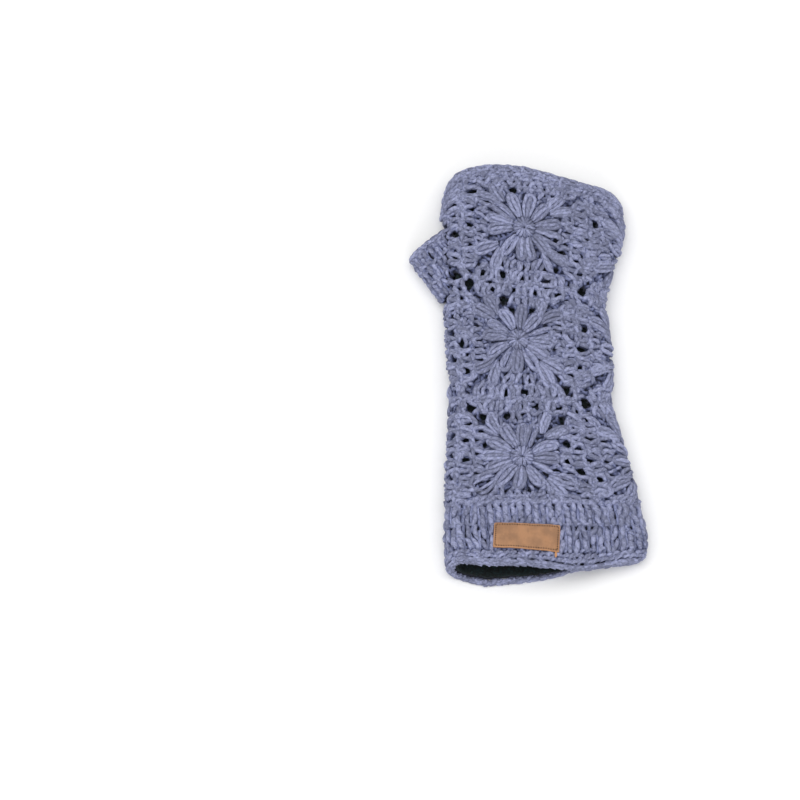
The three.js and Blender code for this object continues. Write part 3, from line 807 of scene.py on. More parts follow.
def gaps_of(column, row, random):
    """The gaps of one square on its chart: x, y and half the width and height."""
    gaps = []
    for other, flower in FLOWERS.items():
        table = np.array(flower["gaps"], float)
        charted = seen_from_above(on_square(0, other), table[:, :2])
        heights = height_in_row(row, v_in_row(other, charted[:, 1]))
        across = (charted[:, 0] - column * SQUARE + ROUND / 2) % ROUND - ROUND / 2
        for x, y, (wide, high) in zip(across, heights, table[:, 2:]):
            if abs(x) < SQUARE / 2 + wide and abs(y) < SQUARE / 2 + high:
                gaps.append((x, y, wide, high))
    if column == 0:
        return gaps
    for quarter in range(4):
        for x, y, wide, high in PLAIN_GAPS:
            off = random.normal(0, 1, 2)
            spot = spot_at(x + 0.4 * off[0], y + off[1], 90 * quarter)
            size = (wide, high) if quarter % 2 == 0 else (high, wide)
            if all(math.dist(spot, gap[:2]) > 6 for gap in gaps):
                gaps.append((*spot, *np.multiply(size, random.uniform(0.6, 1.15))))
    return gaps


def slits_of(random):
    """Small slits between the posts of the two rounds, where the ground beneath shows, its colour painted dark
    as shade.
    """
    slits = []
    for quarter in range(4):
        for out, places in ((24.6, FIRST_POSTS), (30.6, SECOND_POSTS)):
            for place in places[:-1] + POST_PITCH / 2:
                if random.random() < 0.8:
                    spot = spot_at(out + random.normal(0, 0.4), place + random.normal(0, 0.3), 90 * quarter)
                    size = (random.uniform(0.8, 1.9), random.uniform(0.2, 0.75))
                    slits.append((*spot, *(size if quarter % 2 == 0 else size[::-1])))
    return slits


def petal_round(skein, petals, radius):
    """The flower's puffs, with low strands, a knot and a bead at the top between each two."""
    random = skein.random
    for degrees, following in zip(petals, petals[1:] + [petals[0] + 360]):
        base = spot_at(ROUNDS["petal_base"], 0, degrees)
        reach = ROUNDS["petal_top"] - ROUNDS["petal_base"] + random.normal(0, 0.6)
        way = degrees + random.normal(0, 4)
        width = 7.8 * skein.vary(0.06)
        puff(skein, base, way, reach, width, int(random.choice((2, 3, 3))), radius * THICK["petal"])
        between = (degrees + following) / 2
        skein.lay(turned([(6.8, 0, -1.2), (12, 0.3, -1.5), (17, -0.3, -1.5), (21.5, 0, -1.3)], between), radius)
        head = spot_at(ROUNDS["petal_top"] + 0.9, random.normal(0, 0.5), degrees)
        knot(skein, head, degrees - 90, radius * THICK["petal_knot"], lift=0.0, length=4.2)
        spot = spot_at(ROUNDS["petal_top"] - 0.6 + random.normal(0, 0.5), 0, between)
        bead(skein, spot, between + random.normal(0, 35), 4.2, radius, lift=-0.2, curl=0.5)


def square_corner(skein, corner, directions, widths, radius):
    """The two puffs of one corner, with the posts and knots that spread beyond them."""
    base = spot_at(ROUNDS["corner_base"], 0, corner)
    plump = radius * THICK["corner_puff"]
    for degrees, width, beside in zip(directions, widths, (-1.5, 1.5)):
        spot = spot_at(0, beside, corner, base)
        loops = int(skein.random.choice((3, 3, 4)))
        length = 6 + min(width, 9)
        if width > OPEN_PUFF:
            puff(skein, spot, degrees, length, width, 2, plump, raised=1.3)
        else:
            puff(skein, spot, degrees + skein.random.normal(0, 2), length, width, loops, plump)
    for turn, reach in ((-36, 39), (-14, 43), (14, 43), (36, 39)):
        inner = spot_at(31.5, 0, corner + turn * 0.5)
        outer = spot_at(reach, 0, corner + turn * 0.42)
        post(skein, inner, outer, radius * THICK["corner_post"], lift=0.2)
        knot(skein, outer, corner + 90 + turn, radius * THICK["corner_knot"], lift=0.2)


def square_side(skein, degrees, radius):
    """The two rounds of stitches along one side of a square, laid as if it were the right side and turned."""
    random = skein.random
    phase = random.uniform(0, 6)

    def spot(out, along):
        wave = 0.7 * math.sin(0.4 * along + phase)
        return spot_at(out + wave + random.normal(0, 0.3), along + random.normal(0, 0.3), degrees)

    first, second = ROUNDS["first_head"], ROUNDS["second_head"]
    thick = radius * THICK["first_round"]
    for place in FIRST_POSTS:
        inner = math.sqrt(FLOWER_REACH**2 - place**2)
        post(skein, spot(inner, place), spot(first - 0.4, place), thick, lift=0.1)
    for place in np.arange(-21.6, 22, KNOT_PITCH):
        knot(skein, spot(first, place), degrees + 90, thick, lift=0.1)
    thick = radius * THICK["second_round"]
    for place in SECOND_POSTS:
        post(skein, spot(first + 0.4, place), spot(second - 0.4, place), thick, lift=0.2)
    for place in np.arange(-32.4, 33, KNOT_PITCH):
        knot(skein, spot(second, place), degrees + 90, thick, lift=0.3)


def square_filler(skein, radius):
    """Short strands low in the square, which back the gaps between its stitches."""
    random = skein.random
    places = np.arange(-33.6, 34, FILLER_PITCH)
    spots = [
        (x + random.normal(0, 0.7), y + random.normal(0, 0.7)) for x in places for y in places
        if math.hypot(x, y) > 10
    ]
    for spot in spots:
        bead(skein, spot, random.uniform(0, 360), 5.6, radius, lift=-1.3 + random.normal(0, 0.25), curl=0.4)


def granny_square(column, row, seed, settings):
    """The strands, gaps and slits of one square."""
    radius = settings.strand_radius / MM
    skein = Skein(seed, spread=0.25)
    gaps = gaps_of(column, row, skein.random)
    heart(skein, settings.heart_stitches, radius * THICK["heart"])
    petals = [360 * k / settings.petals for k in range(settings.petals)]
    corners = [[90 * quarter + degrees for degrees in PLAIN_CORNER["directions"]] for quarter in range(4)]
    widths = 4 * (PLAIN_CORNER["widths"],)
    if column == 0:
        petals = sorted(degrees % 360 for degrees in FLOWERS[row]["petals"])
        corners, widths = FLOWERS[row]["corners"], FLOWERS[row]["widths"]
    petal_round(skein, petals, radius)
    for quarter in range(4):
        square_corner(skein, 45 + 90 * quarter, corners[quarter], widths[quarter], radius)
    for quarter in range(4):
        square_side(skein, 90 * quarter, radius)
    square_filler(skein, radius * THICK["filler"])
    return skein, gaps, slits_of(skein.random)


# Materials


def new_material(name):
    """An empty material and the places on the piece that its patterns read."""
    material = bpy.data.materials.new(name)
    material.use_nodes = True
    material.node_tree.nodes.clear()
    return material, node(material, "ShaderNodeTexCoord").outputs["Object"]


def node(material, kind, inputs=None, **settings):
    """A new node with its settings made and its inputs set or linked."""
    made = material.node_tree.nodes.new(kind)
    for key, value in settings.items():
        setattr(made, key, value)
    for key, value in (inputs or {}).items():
        if isinstance(value, bpy.types.NodeSocket):
            material.node_tree.links.new(value, made.inputs[key])
        else:
            made.inputs[key].default_value = value
    return made


def finish_material(material, colour, rough, bump=None, soft=None):
    """Ends a material with its shader. What is the same all over the surface is set on the shader itself."""
    inputs = {"Base Color": colour, "Roughness": rough, **(soft or {})}
    if bump:
        height, strength, distance = bump
        raised = {"Height": height, "Strength": strength, "Distance": distance}
        inputs["Normal"] = node(material, "ShaderNodeBump", raised).outputs[0]
    shader = node(material, "ShaderNodeBsdfPrincipled", inputs)
    node(material, "ShaderNodeOutputMaterial", {"Surface": shader.outputs[0]})
    return material


def math_node(material, operation, a, b=0.0):
    return node(material, "ShaderNodeMath", {0: a, 1: b}, operation=operation).outputs[0]


def noise(material, vector, scale, detail, roughness=0.5):
    pattern = {"Vector": vector, "Scale": scale, "Detail": detail, "Roughness": roughness}
    return node(material, "ShaderNodeTexNoise", pattern).outputs[0]


def weighted(material, *parts):
    """A sum of values, each times its weight."""
    total = None
    for value, weight in parts:
        part = math_node(material, "MULTIPLY", value, weight)
        total = part if total is None else math_node(material, "ADD", total, part)
    return total


def ramp(material, factor, stops):
    made = node(material, "ShaderNodeValToRGB", {"Fac": factor})
    elements = made.color_ramp.elements
    while len(elements) < len(stops):
        elements.new(0.5)
    for element, (position, colour) in zip(elements, stops):
        element.position = position
        element.color = (*colour, 1)
    return made.outputs["Color"]


def shade(colour, amount):
    return tuple(min(1.0, channel * amount) for channel in colour)


def tinted(material, factor, colour, stops):
    """Shades of a colour, by where a value stands between the stops."""
    return ramp(material, factor, [(position, shade(colour, amount)) for position, amount in stops])


# The shade painted into a strand's colour, by how open it is to the light
PAINTED_SHADE_RAMP = ((0.1, (0.19, 0.21, 0.3)), (0.38, (0.62, 0.65, 0.75)), (0.8, (1.0, 1.0, 1.0)))
# The way along a strand in which its plies wind once round it, in metres
PLY_PITCH = 0.009


def yarn_material(name, colour, painted_light_level=1.0, shaded=False):
    """Soft plied wool. Its fibres wind along the strand, which the yarn map follows. Where shaded is set, shade
    is painted into its colour, darker the further a strand dips into the fabric."""
    material, place = new_material(name)
    chart = node(material, "ShaderNodeUVMap", uv_map="yarn").outputs[0]
    parts = node(material, "ShaderNodeSeparateXYZ", {0: chart}).outputs
    turn = math_node(material, "MULTIPLY", parts[1], 2 * math.pi)
    wind = math_node(material, "MULTIPLY", parts[0], 2 * math.pi / PLY_PITCH)
    angle = math_node(material, "ADD", turn, wind)
    waves = {kind: math_node(material, kind, angle) for kind in ("COSINE", "SINE")}
    around = [math_node(material, "MULTIPLY", wave, 2.6) for wave in waves.values()]
    along = math_node(material, "MULTIPLY", parts[0], 260.0)
    spun = node(material, "ShaderNodeCombineXYZ", {0: along, 1: around[0], 2: around[1]}).outputs[0]
    fibres = noise(material, spun, 1.6, 4.0, 0.6)
    ply_height_and_groove_shade = math_node(material, "POWER", math_node(material, "ABSOLUTE", waves["SINE"]), 0.5)
    cloud = noise(material, place, 90.0, 3.0)
    fuzz = noise(material, place, 1300.0, 3.0, 0.7)
    mottle = noise(material, place, 620.0, 2.0)
    tone = node(material, "ShaderNodeAttribute", attribute_name="tone").outputs["Fac"]
    # The ply's height also paints shade into the colour, darker in the grooves between plies, beside the
    # fibres' own mottled colour
    mixed = weighted(
        material, (fibres, 0.4), (mottle, 0.34), (cloud, 0.1), (tone, 0.14), (fuzz, 0.32), (ply_height_and_groove_shade, 0.11)
    )
    # The whole colour is darkened by the given level: the painted shade of the core
    tint = tinted(material, mixed, colour, ((0.65, 0.56 * painted_light_level), (0.76, 0.95 * painted_light_level), (0.87, 1.34 * painted_light_level)))
    if shaded:
        # Painted shade: the colour is darkened by how little each place is open to the light
        painted_light_share = node(material, "ShaderNodeAttribute", attribute_name="painted_light_share").outputs["Fac"]
        both = {"Factor": 1.0, 6: tint, 7: ramp(material, painted_light_share, PAINTED_SHADE_RAMP)}
        tint = node(material, "ShaderNodeMix", both, data_type="RGBA", blend_type="MULTIPLY").outputs[2]
    raised = weighted(material, (fibres, 0.9), (fuzz, 0.35), (ply_height_and_groove_shade, 0.5))
    soft = {"Sheen Weight": 0.12, "Sheen Roughness": 0.45, "Sheen Tint": (0.8, 0.82, 1.0, 1)}
    soft["Specular IOR Level"] = 0.2
    return finish_material(material, tint, 0.92, (raised, 0.5, 0.0005), soft)


def fleece_material(name, colour):
    """Dark brushed fleece: a fine nap with paler fibre tips."""
    material, place = new_material(name)
    nap = noise(material, place, 1100.0, 5.0, 0.7)
    tufts = noise(material, place, 380.0, 3.0, 0.6)
    mixed = weighted(material, (nap, 0.6), (tufts, 0.4))
    tint = tinted(material, mixed, colour, ((0.43, 0.3), (0.51, 1), (0.6, 3.4)))
    soft = {"Specular IOR Level": 0.1, "Sheen Weight": 0.1, "Sheen Roughness": 0.6}
    return finish_material(material, tint, 1.0, (mixed, 1.0, 0.0025), soft)


def leather_material(name, colour):
    """Vegetable-tanned leather: a fine pebbled grain, clouded colour and small pores."""
    material, place = new_material(name)
    pebbles = {"Vector": place, "Scale": 1500.0, "Randomness": 1.0}
    grain = node(material, "ShaderNodeTexVoronoi", pebbles, feature="SMOOTH_F1").outputs[0]
    pores = noise(material, place, 3200.0, 2.0)
    cloud = noise(material, place, 130.0, 4.0, 0.6)
    mixed = weighted(material, (cloud, 0.65), (pores, 0.35))
    tint = tinted(material, mixed, colour, ((0.42, 0.82), (0.5, 1), (0.58, 1.2)))
    raised = weighted(material, (grain, 0.7), (pores, 0.3))
    rough = node(material, "ShaderNodeMapRange", {"Value": cloud, "To Min": 0.5, "To Max": 0.72}).outputs[0]
    return finish_material(material, tint, rough, (raised, 0.35, 0.0002))


def cut_edge_material(name, colour):
    """The raw, paler fibres of the leather's cut edge."""
    material, place = new_material(name)
    fibres = noise(material, place, 2400.0, 4.0)
    tint = tinted(material, fibres, colour, ((0.3, 0.8), (0.7, 1.15)))
    return finish_material(material, tint, 0.85, (fibres, 0.5, 0.0002))


def floor_material(name, colour):
    """A plain pale surface with a barely visible grain."""
    material, place = new_material(name)
    tint = tinted(material, noise(material, place, 400.0, 3.0), colour, ((0.3, 0.99), (0.7, 1)))
    return finish_material(material, tint, 0.9)


def finish_of(key):
    """One of the finishes, made when it is first asked for."""
    scene = bpy.context.scene
    yarn, patch, stage = scene.hand_warmer_yarn, scene.hand_warmer_patch, scene.hand_warmer_stage
    maker, *settings = {
        "soft_wool": (yarn_material, yarn.colour, 1.0, True),
        # The core is the same yarn with shade painted on: dark, as deep in the fabric between the strands
        "wool_core": (yarn_material, yarn.colour, 0.15),
        "dark_fleece": (fleece_material, stage.fleece_colour),
        "tan_leather": (leather_material, patch.colour),
        "cut_leather_edge": (cut_edge_material, shade(patch.colour, 1.8)),
        "sewing_thread": (yarn_material, patch.thread_colour),
    }[key]
    return bpy.data.materials.get(key) or maker(key, *settings)


def finish_piece(piece, slot, *nodes):
    """Attaches a finished piece to the root and hides the parts it stands for. Its slot is not used."""
    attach(piece, "root")
    if nodes:
        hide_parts(*nodes)


def joined(name, *things):
    select_only(*things)
    bpy.ops.object.join()
    things[0].name = name
    things[0].data.name = name
    return things[0]


def crochet_piece(node_name, skein, place, core, **laying):
    """A crocheted piece: its strands over a ground of yarn whose colour is painted dark as the shade deep in
    the fabric.
    """
    strands = strands_mesh(node_name + "_strands", skein, place, finish_of("soft_wool"), **laying)
    ground = fabric_sheet(node_name + "_core", finish_of("wool_core"), **core)
    finish_piece(joined(node_name + "_crochet", strands, ground), "wool_yarn", node_name)


# What a user may change


class HandWarmerYarn(bpy.types.PropertyGroup):
    colour: FloatVectorProperty(
        name="Colour", description="Colour of the wool", subtype="COLOR", size=3, min=0, max=1,
        default=(0.278, 0.297, 0.449),
    )
    strand_radius: FloatProperty(
        name="Strand radius", description="Radius of one strand of yarn", default=0.00116, min=0.0006,
        max=0.002, unit="LENGTH", precision=5,
    )
    petals: IntProperty(name="Petals", description="Puff stitches round a flower", default=12, min=8, max=16)
    heart_stitches: IntProperty(
        name="Heart stitches", description="Tall stitches in a flower's centre", default=14, min=8, max=20,
    )


class HandWarmerCuff(bpy.types.PropertyGroup):
    stitches: IntProperty(
        name="Stitches", description="Tall stitches round the cuff", default=56, min=40, max=90,
    )
    rim_radius: FloatProperty(
        name="Rim radius", description="Radius of a strand of the rolled edge", default=0.0014, min=0.0008,
        max=0.002, unit="LENGTH", precision=5,
    )


class HandWarmerPatch(bpy.types.PropertyGroup):
    colour: FloatVectorProperty(
        name="Colour", description="Colour of the leather", subtype="COLOR", size=3, min=0, max=1,
        default=(0.33, 0.165, 0.078),
    )
    thread_colour: FloatVectorProperty(
        name="Thread colour", description="Colour of the thread", subtype="COLOR", size=3, min=0, max=1,
        default=(0.09, 0.045, 0.027),
    )
    thickness: FloatProperty(
        name="Thickness", description="Thickness of the leather", default=0.0013, min=0.0008, max=0.002,
        unit="LENGTH", precision=5,
    )
    stitch_pitch: FloatProperty(
        name="Stitch pitch", description="Length of a sewn stitch with its gap", default=0.00145, min=0.0008,
        max=0.004, unit="LENGTH", precision=5,
    )


class HandWarmerStage(bpy.types.PropertyGroup):
    fleece_colour: FloatVectorProperty(
        name="Fleece colour", description="Colour of the lining", subtype="COLOR", size=3, min=0, max=1,
        default=(0.0035, 0.0095, 0.011),
    )
    floor_colour: FloatVectorProperty(
        name="Floor colour", description="Colour of the pale floor", subtype="COLOR", size=3, min=0, max=1,
        default=(0.97, 0.97, 0.97),
    )
    camera_elevation: FloatProperty(
        name="Camera elevation", description="Angle of the camera over the floor", default=math.radians(72),
        min=0, max=math.pi / 2, subtype="ANGLE",
    )
    camera_distance: FloatProperty(
        name="Camera distance", description="Distance from the camera to the point it looks at", default=3.9,
        min=0.3, max=8, unit="LENGTH",
    )


# The makers of the pieces


class HANDWARMER_OT_squares(bpy.types.Operator):
    """Crochet the nine granny squares with their puff-stitch flowers"""

    bl_idname = "hand_warmer.squares"
    bl_label = "Granny Squares"

    def execute(self, context):
        for column in range(len(COLUMNS)):
            for row_index, row in enumerate(ROWS):
                self.square(column, row, 100 + 10 * column + row_index, context.scene.hand_warmer_yarn)
        return {"FINISHED"}

    @staticmethod
    def square(column, row, seed, settings):
        place = on_square(column, row)
        skein, gaps, slits = granny_square(column, row, seed, settings)

        def whole(middles, spots):
            free = ~inside_thumb(spots)
            for x, y, wide, high in gaps:
                off = (middles[:, :2] - (x, y)) / (wide + 0.4, high + 0.4)
                free &= np.linalg.norm(off, axis=1) > 1
            return free

        def clear_of_thumb(paths):
            return inside_thumb(paths).mean(axis=1) < 0.08

        half = SQUARE / 2 - SEAM_ROOM
        core = {
            "across": (-half, half), "along": (-half, half), "spans": (36, 36), "place": sunk(place, 1.7),
            "thickness": 1.2, "keep": whole,
        }
        name = f"square_{COLUMNS[column]}_{row}"
        crochet_piece(name, skein, place, core, gaps=gaps + slits, keep=clear_of_thumb)


class HANDWARMER_OT_cuff_band(bpy.types.Operator):
    """Crochet the two rounds of tall stitches of the cuff"""

    bl_idname = "hand_warmer.cuff_band"
    bl_label = "Cuff Band"

    def execute(self, context):
        count = context.scene.hand_warmer_cuff.stitches
        radius = context.scene.hand_warmer_yarn.strand_radius / MM
        skein = Skein(seed=301, spread=0.26)
        random = skein.random
        pitch = ROUND / count
        for low, high in TALL_ROUNDS:
            for k in range(count):
                tall_stitch(skein, (k + 0.5) * pitch, low, high, radius * THICK["cuff"], pitch / 2)
        for v in KNOT_ROUNDS:
            for k in range(count):
                spot = ((k + random.normal(0, 0.12)) * pitch, v + random.normal(0, 0.3))
                knot(skein, spot, 0, radius, lift=-0.5, length=4.0)
        slits = [
            (pitch * random.integers(count), random.uniform(-97, -72), 0.2, 1.6) for _ in range(count // 2)
        ]
        slits += [(k * pitch, v + random.normal(0, 0.12), 1.8, 0.55) for v in FURROWS for k in range(count)]
        core = {
            "across": (0, ROUND), "along": (-99.5, -70.1), "spans": (120, 16), "place": sunk(on_tube, 1.5),
            "thickness": 1.3, "closed": True,
        }
        crochet_piece("cuff_band", skein, under_patch, core, gaps=slits)
        return {"FINISHED"}


class HANDWARMER_OT_edgings(bpy.types.Operator):
    """Crochet the short rounds and rolled chains of the cuff's and the fingers' rims"""

    bl_idname = "hand_warmer.edgings"
    bl_label = "Edgings"

    def execute(self, context):
        radius = context.scene.hand_warmer_yarn.strand_radius / MM
        rim_radius = context.scene.hand_warmer_cuff.rim_radius / MM
        for name, (inner, rim, seed) in EDGINGS.items():
            skein = Skein(seed, spread=0.28)
            self.edging(name, inner, rim, skein, radius * THICK["edging"], rim_radius)
        return {"FINISHED"}

    @staticmethod
    def edging(name, inner, rim, skein, radius, rim_radius):
        random, count = skein.random, EDGING_STITCHES
        out = 1 if rim > inner else -1
        pitch = ROUND / count
        row_end = inner + (rim - inner) * 0.55
        for k in range(count):
            x = (k + 0.5) * pitch + random.normal(0, 0.2)
            post(skein, (x, inner), (x, row_end), radius, lift=-0.2)
            knot(skein, (x, (inner + row_end) / 2 + random.normal(0, 0.3)), 0, radius, lift=0.4)
            knot(skein, (x + pitch / 2, row_end + 0.6 * out), 0, radius, lift=0.5)
        rolled_rim(skein, count, pitch, rim, out, EDGING_ROLL, rim_radius)
        furrows = [
            (k * pitch, v + random.normal(0, 0.15), 1.7, 0.1)
            for v in (inner, row_end + 1.6 * out) for k in range(count)
        ]

        # Near the rolled rim less shade is painted on the strands: they are painted at least this open to the
        # light
        def bare(charted):
            return 0.9 - 0.9 * smooth(np.abs(charted[..., 1] - rim), 1.8, 5.5)

        core = {
            "across": (0, ROUND), "along": sorted((inner, rim - 2.6 * out)), "spans": (110, 4),
            "place": sunk(on_tube, 1.4), "thickness": 1.5, "closed": True,
        }
        crochet_piece(name, skein, on_tube, core, gaps=furrows, bare=bare)


class HANDWARMER_OT_thumb_sleeve(bpy.types.Operator):
    """Crochet the short thumb sleeve"""

    bl_idname = "hand_warmer.thumb_sleeve"
    bl_label = "Thumb Sleeve"

    def execute(self, context):
        radius = context.scene.hand_warmer_yarn.strand_radius / MM
        skein = Skein(seed=501, spread=0.25)
        random, count = skein.random, THUMB_STITCHES
        pitch = 4 * THUMB_SIDE / count
        for low, high in THUMB_ROUNDS:
            for k in range(count):
                x = (k + 0.5) * pitch + random.normal(0, 0.15)
                foot = low + random.normal(0, 0.2)
                tall_stitch(skein, x, foot, high, radius * THICK["thumb"], pitch / 2)
            for k in range(count):
                knot(skein, (k * pitch, high), 0, radius, lift=0.1, length=4.0)
        rolled_rim(skein, count, pitch, THUMB["length"], 1, THUMB_ROLL, radius * THICK["thumb_rim"])
        slits = [(pitch * random.integers(count), random.uniform(22, 47), 0.4, 1.6) for _ in range(count)]
        core = {
            "across": (0, 4 * THUMB_SIDE), "along": (18.5, 50), "spans": (64, 30), "place": sunk(on_thumb, 1.5),
            "thickness": 1.3, "keep": lambda middles, spots: ~inside_tube(spots, -0.2), "closed": True,
        }
        crochet_piece(
            "thumb_sleeve", skein, on_thumb, core, gaps=slits,
            keep=lambda paths: inside_tube(paths, -0.8).mean(axis=1) < 0.35,
        )
        return {"FINISHED"}


class HANDWARMER_OT_lining(bpy.types.Operator):
    """Sew the fleece lining that fills the inside"""

    bl_idname = "hand_warmer.lining"
    bl_label = "Fleece Lining"

    def execute(self, context):
        def napped(points):
            x, y, height = points.T
            around = x * 2 * np.pi / ROUND
            nap = 0.16 * np.sin(37 * around + 3 * np.sin(0.7 * y)) * np.sin(1.9 * y + 2 * np.sin(11 * around))
            ragged = 0.35 * np.sin(29 * around + 2 * np.sin(7 * around))
            return on_tube(np.stack([x, y - ragged, height - (WALL + LINING_GAP + nap)], axis=-1))

        lining = fabric_sheet(
            "fleece_lining", finish_of("dark_fleece"), (0, ROUND), LINING_ENDS, (84, 90), napped, LINING_WALL,
            lambda middles, spots: ~inside_thumb(spots), closed=True,
        )
        finish_piece(lining, "fleece", "lining")
        return {"FINISHED"}


def patch_swell(x, y):
    """How the soft leather rises and falls over the stitches under it."""
    return 0.25 * np.sin(x * 0.31 + 0.6) * np.sin(y * 0.42 + 1.1) + 0.15 * np.sin(x * 0.9 + y * 0.3)


def seam_line(spacing):
    """Places along the patch's sewn line, with the direction there."""
    half_x, half_y = PATCH["width"] / 2 - PATCH["inset"], PATCH["height"] / 2 - PATCH["inset"]
    corners = [(-half_x, -half_y), (half_x, -half_y), (half_x, half_y), (-half_x, half_y), (-half_x, -half_y)]
    places = []
    for start, end in zip(corners[:-1], corners[1:]):
        start, end = np.array(start), np.array(end)
        steps = round(np.linalg.norm(end - start) / spacing)
        degrees = math.degrees(math.atan2(*(end - start)[::-1]))
        places += [(*(start + (end - start) * (k + 0.5) / steps), degrees) for k in range(steps)]
    return places


class HANDWARMER_OT_leather_patch(bpy.types.Operator):
    """Cut the bare leather patch and pull it down along its sewn line"""

    bl_idname = "hand_warmer.leather_patch"
    bl_label = "Leather Patch"

    def execute(self, context):
        thickness = context.scene.hand_warmer_patch.thickness / MM
        half = (PATCH["width"] / 2, PATCH["height"] / 2)
        patch, corners = flat_grid("leather_patch_cut", (74, 34), (-half[0], -half[1]), half)
        mesh = patch.data
        move_corners(mesh, corners)
        apply_modifier(patch, "SOLIDIFY", thickness=thickness, offset=1)
        corners = corners_of(mesh)
        self.round_corners(corners)
        self.sew_down(corners, thickness)
        move_corners(mesh, on_patch(corners))
        mesh.update()
        edge = math.radians(50)
        apply_modifier(patch, "BEVEL", width=0.0004, segments=3, limit_method="ANGLE", angle_limit=edge)
        select_only(patch)
        bpy.ops.object.shade_smooth_by_angle(angle=edge)
        mesh.materials.append(finish_of("tan_leather"))
        mesh.materials.append(finish_of("cut_leather_edge"))
        for face in mesh.polygons:
            face.material_index = 1 if abs(face.normal.z) < 0.9 else 0
        finish_piece(patch, "leather", "leather_patch")
        return {"FINISHED"}

    @staticmethod
    def round_corners(corners):
        inner = np.array((PATCH["width"], PATCH["height"])) / 2 - PATCH["corner"]
        out = np.abs(corners[:, :2])
        off = np.maximum(out - inner, 0)
        far = np.hypot(off[:, 0], off[:, 1])
        shrink = np.where(far > 0, off.max(axis=1) / np.maximum(far, 1e-9), 1)[:, None]
        corners[:, :2] = np.sign(corners[:, :2]) * (np.minimum(out, inner) + off * shrink)

    @staticmethod
    def sew_down(corners, thickness):
        """The leather lies over the stitches under it and is pulled down along its sewn line."""
        x, y, top = corners[:, 0], corners[:, 1], corners[:, 2] > thickness / 2
        off_x = np.abs(x) - (PATCH["width"] / 2 - PATCH["inset"])
        off_y = np.abs(y) - (PATCH["height"] / 2 - PATCH["inset"])
        far = 9
        line = np.minimum(np.abs(off_x) + far * (off_y > 0), np.abs(off_y) + far * (off_x > 0))
        groove = np.exp(-((line / 0.8) ** 2)) * 0.1
        corners[:, 2] += patch_swell(x, y) - groove * np.where(top, 1, 0.4)


class HANDWARMER_OT_patch_stitching(bpy.types.Operator):
    """Sew the patch's line of short thread stitches"""

    bl_idname = "hand_warmer.patch_stitching"
    bl_label = "Patch Stitching"

    def execute(self, context):
        settings = context.scene.hand_warmer_patch
        thickness, pitch = settings.thickness / MM, settings.stitch_pitch / MM
        half = pitch * 0.07
        skein = Skein(seed=701, spread=0.03)
        for x, y, degrees in seam_line(pitch):
            top = thickness + patch_swell(x, y) + 0.06
            stitch = [(-half, 0, top - 0.4), (-half / 2, 0, top), (half / 2, 0, top), (half, 0, top - 0.4)]
            skein.lay(turned(stitch, degrees, (x, y)), 0.36)
        stitching = strands_mesh("patch_stitching", skein, on_patch, finish_of("sewing_thread"), step=0.5)
        tail = Skein(seed=702, spread=0.1)
        for beside in (-0.45, 0.5):
            tail.lay([(x + beside * apart, y, height) for x, y, height, apart in THREAD_END], 0.5)
        tail_end = strands_mesh("thread_tail", tail, on_patch, finish_of("cut_leather_edge"), step=0.6)
        finish_piece(joined("patch_stitching", stitching, tail_end), "leather")
        return {"FINISHED"}


# The soft lamps, with where each stands and its side in metres, and its power in watts
LAMPS = {
    "overhead_softbox": ((-0.2, 0.2, 1.6), 1.6, 13.0),
    "left_softbox": ((-1.3, 0.4, 1.0), 1.4, 5.0),
    "right_softbox": ((1.2, 0.3, 1.1), 1.2, 4.5),
    "front_softbox": ((0.1, -1.4, 0.8), 1.0, 6.0),
}
# How bright the room is, and the point in metres that the camera looks at
ROOM_LIGHT = 0.52
CAMERA_TARGET = (-0.0751, -0.0201, 0.020)


def aim(thing, target):
    way = Vector(target) - thing.location
    thing.rotation_euler = way.to_track_quat("-Z", "Y").to_euler()


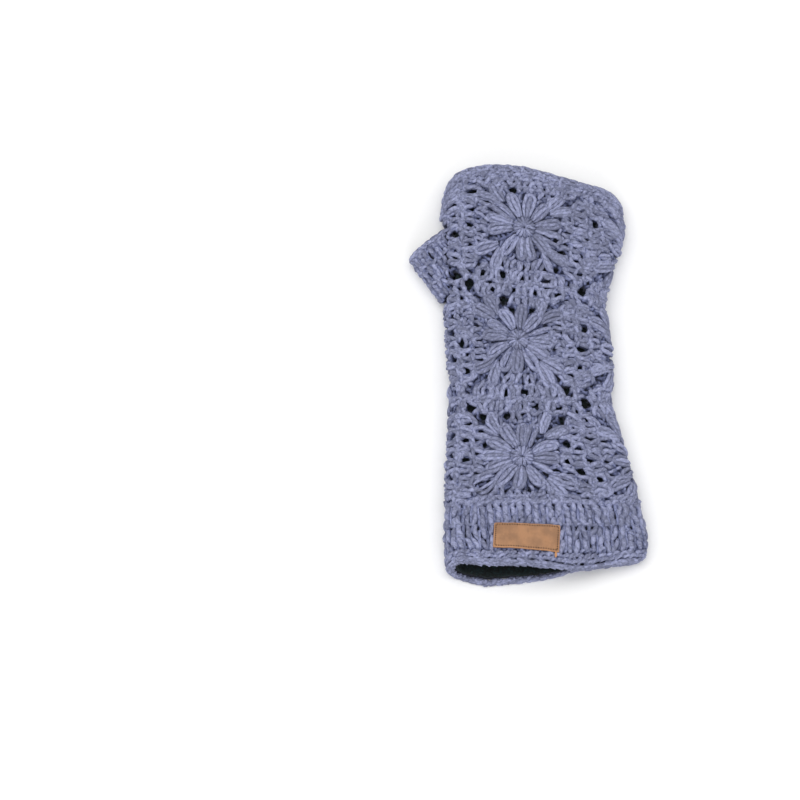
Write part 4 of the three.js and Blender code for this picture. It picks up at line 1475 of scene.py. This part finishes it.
class HANDWARMER_OT_stage(bpy.types.Operator):
    """Set up the pale floor, the soft lights and the camera"""

    bl_idname = "hand_warmer.stage"
    bl_label = "Stage"

    def execute(self, context):
        settings = context.scene.hand_warmer_stage
        bpy.ops.object.select_all(action="DESELECT")
        bpy.ops.mesh.primitive_plane_add(size=6, location=(0, 0, 0))
        floor = bpy.context.object
        floor.name = "pale_floor"
        give_material(floor, floor_material("pale_floor", settings.floor_colour))
        for name, (place, size, power) in LAMPS.items():
            bpy.ops.object.light_add(type="AREA", location=place)
            lamp = bpy.context.object
            lamp.name = name
            lamp.data.shape = "SQUARE"
            lamp.data.size = size
            lamp.data.energy = power
            aim(lamp, (0, 0, 0))
        world = bpy.data.worlds.new("soft_room")
        context.scene.world = world
        world.use_nodes = True
        world.node_tree.nodes["Background"].inputs["Color"].default_value = (1, 1, 1, 1)
        world.node_tree.nodes["Background"].inputs["Strength"].default_value = ROOM_LIGHT
        rise = settings.camera_elevation
        back = np.array((0, -math.cos(rise), math.sin(rise)))
        bpy.ops.object.camera_add(location=tuple(CAMERA_TARGET + back * settings.camera_distance))
        camera = bpy.context.object
        camera.name = "photo_camera"
        camera.data.lens = 300
        camera.data.sensor_width = 36
        aim(camera, CAMERA_TARGET)
        context.scene.camera = camera
        context.scene.view_settings.view_transform = "Standard"
        return {"FINISHED"}


class HANDWARMER_PT_panel(bpy.types.Panel):
    """The makers of the hand warmer's pieces, in order"""

    bl_label = "Hand Warmer"
    bl_idname = "HANDWARMER_PT_panel"
    bl_space_type = "VIEW_3D"
    bl_region_type = "UI"
    bl_category = "Hand Warmer"

    def draw(self, context):
        layout = self.layout
        for group in SETTINGS:
            box = layout.box()
            held = getattr(context.scene, group)
            for key in held.__annotations__:
                box.prop(held, key)
        for maker in MAKERS:
            layout.operator(maker.bl_idname)


SETTINGS = {
    "hand_warmer_yarn": HandWarmerYarn,
    "hand_warmer_cuff": HandWarmerCuff,
    "hand_warmer_patch": HandWarmerPatch,
    "hand_warmer_stage": HandWarmerStage,
}
MAKERS = (
    HANDWARMER_OT_stage,
    HANDWARMER_OT_squares,
    HANDWARMER_OT_cuff_band,
    HANDWARMER_OT_edgings,
    HANDWARMER_OT_thumb_sleeve,
    HANDWARMER_OT_lining,
    HANDWARMER_OT_leather_patch,
    HANDWARMER_OT_patch_stitching,
)
CLASSES = (*SETTINGS.values(), *MAKERS, HANDWARMER_PT_panel)


def register():
    for cls in CLASSES:
        bpy.utils.register_class(cls)
    for name, group in SETTINGS.items():
        setattr(bpy.types.Scene, name, PointerProperty(type=group))


def unregister():
    for name in SETTINGS:
        delattr(bpy.types.Scene, name)
    for cls in reversed(CLASSES):
        bpy.utils.unregister_class(cls)


def main():
    register()
    bpy.ops.object.select_all(action="DESELECT")
    bpy.ops.hand_warmer.stage()
    bpy.ops.hand_warmer.squares()
    bpy.ops.hand_warmer.cuff_band()
    bpy.ops.hand_warmer.edgings()
    bpy.ops.hand_warmer.thumb_sleeve()
    bpy.ops.hand_warmer.lining()
    bpy.ops.hand_warmer.leather_patch()
    bpy.ops.hand_warmer.patch_stitching()


if __name__ == "__main__":
    main()
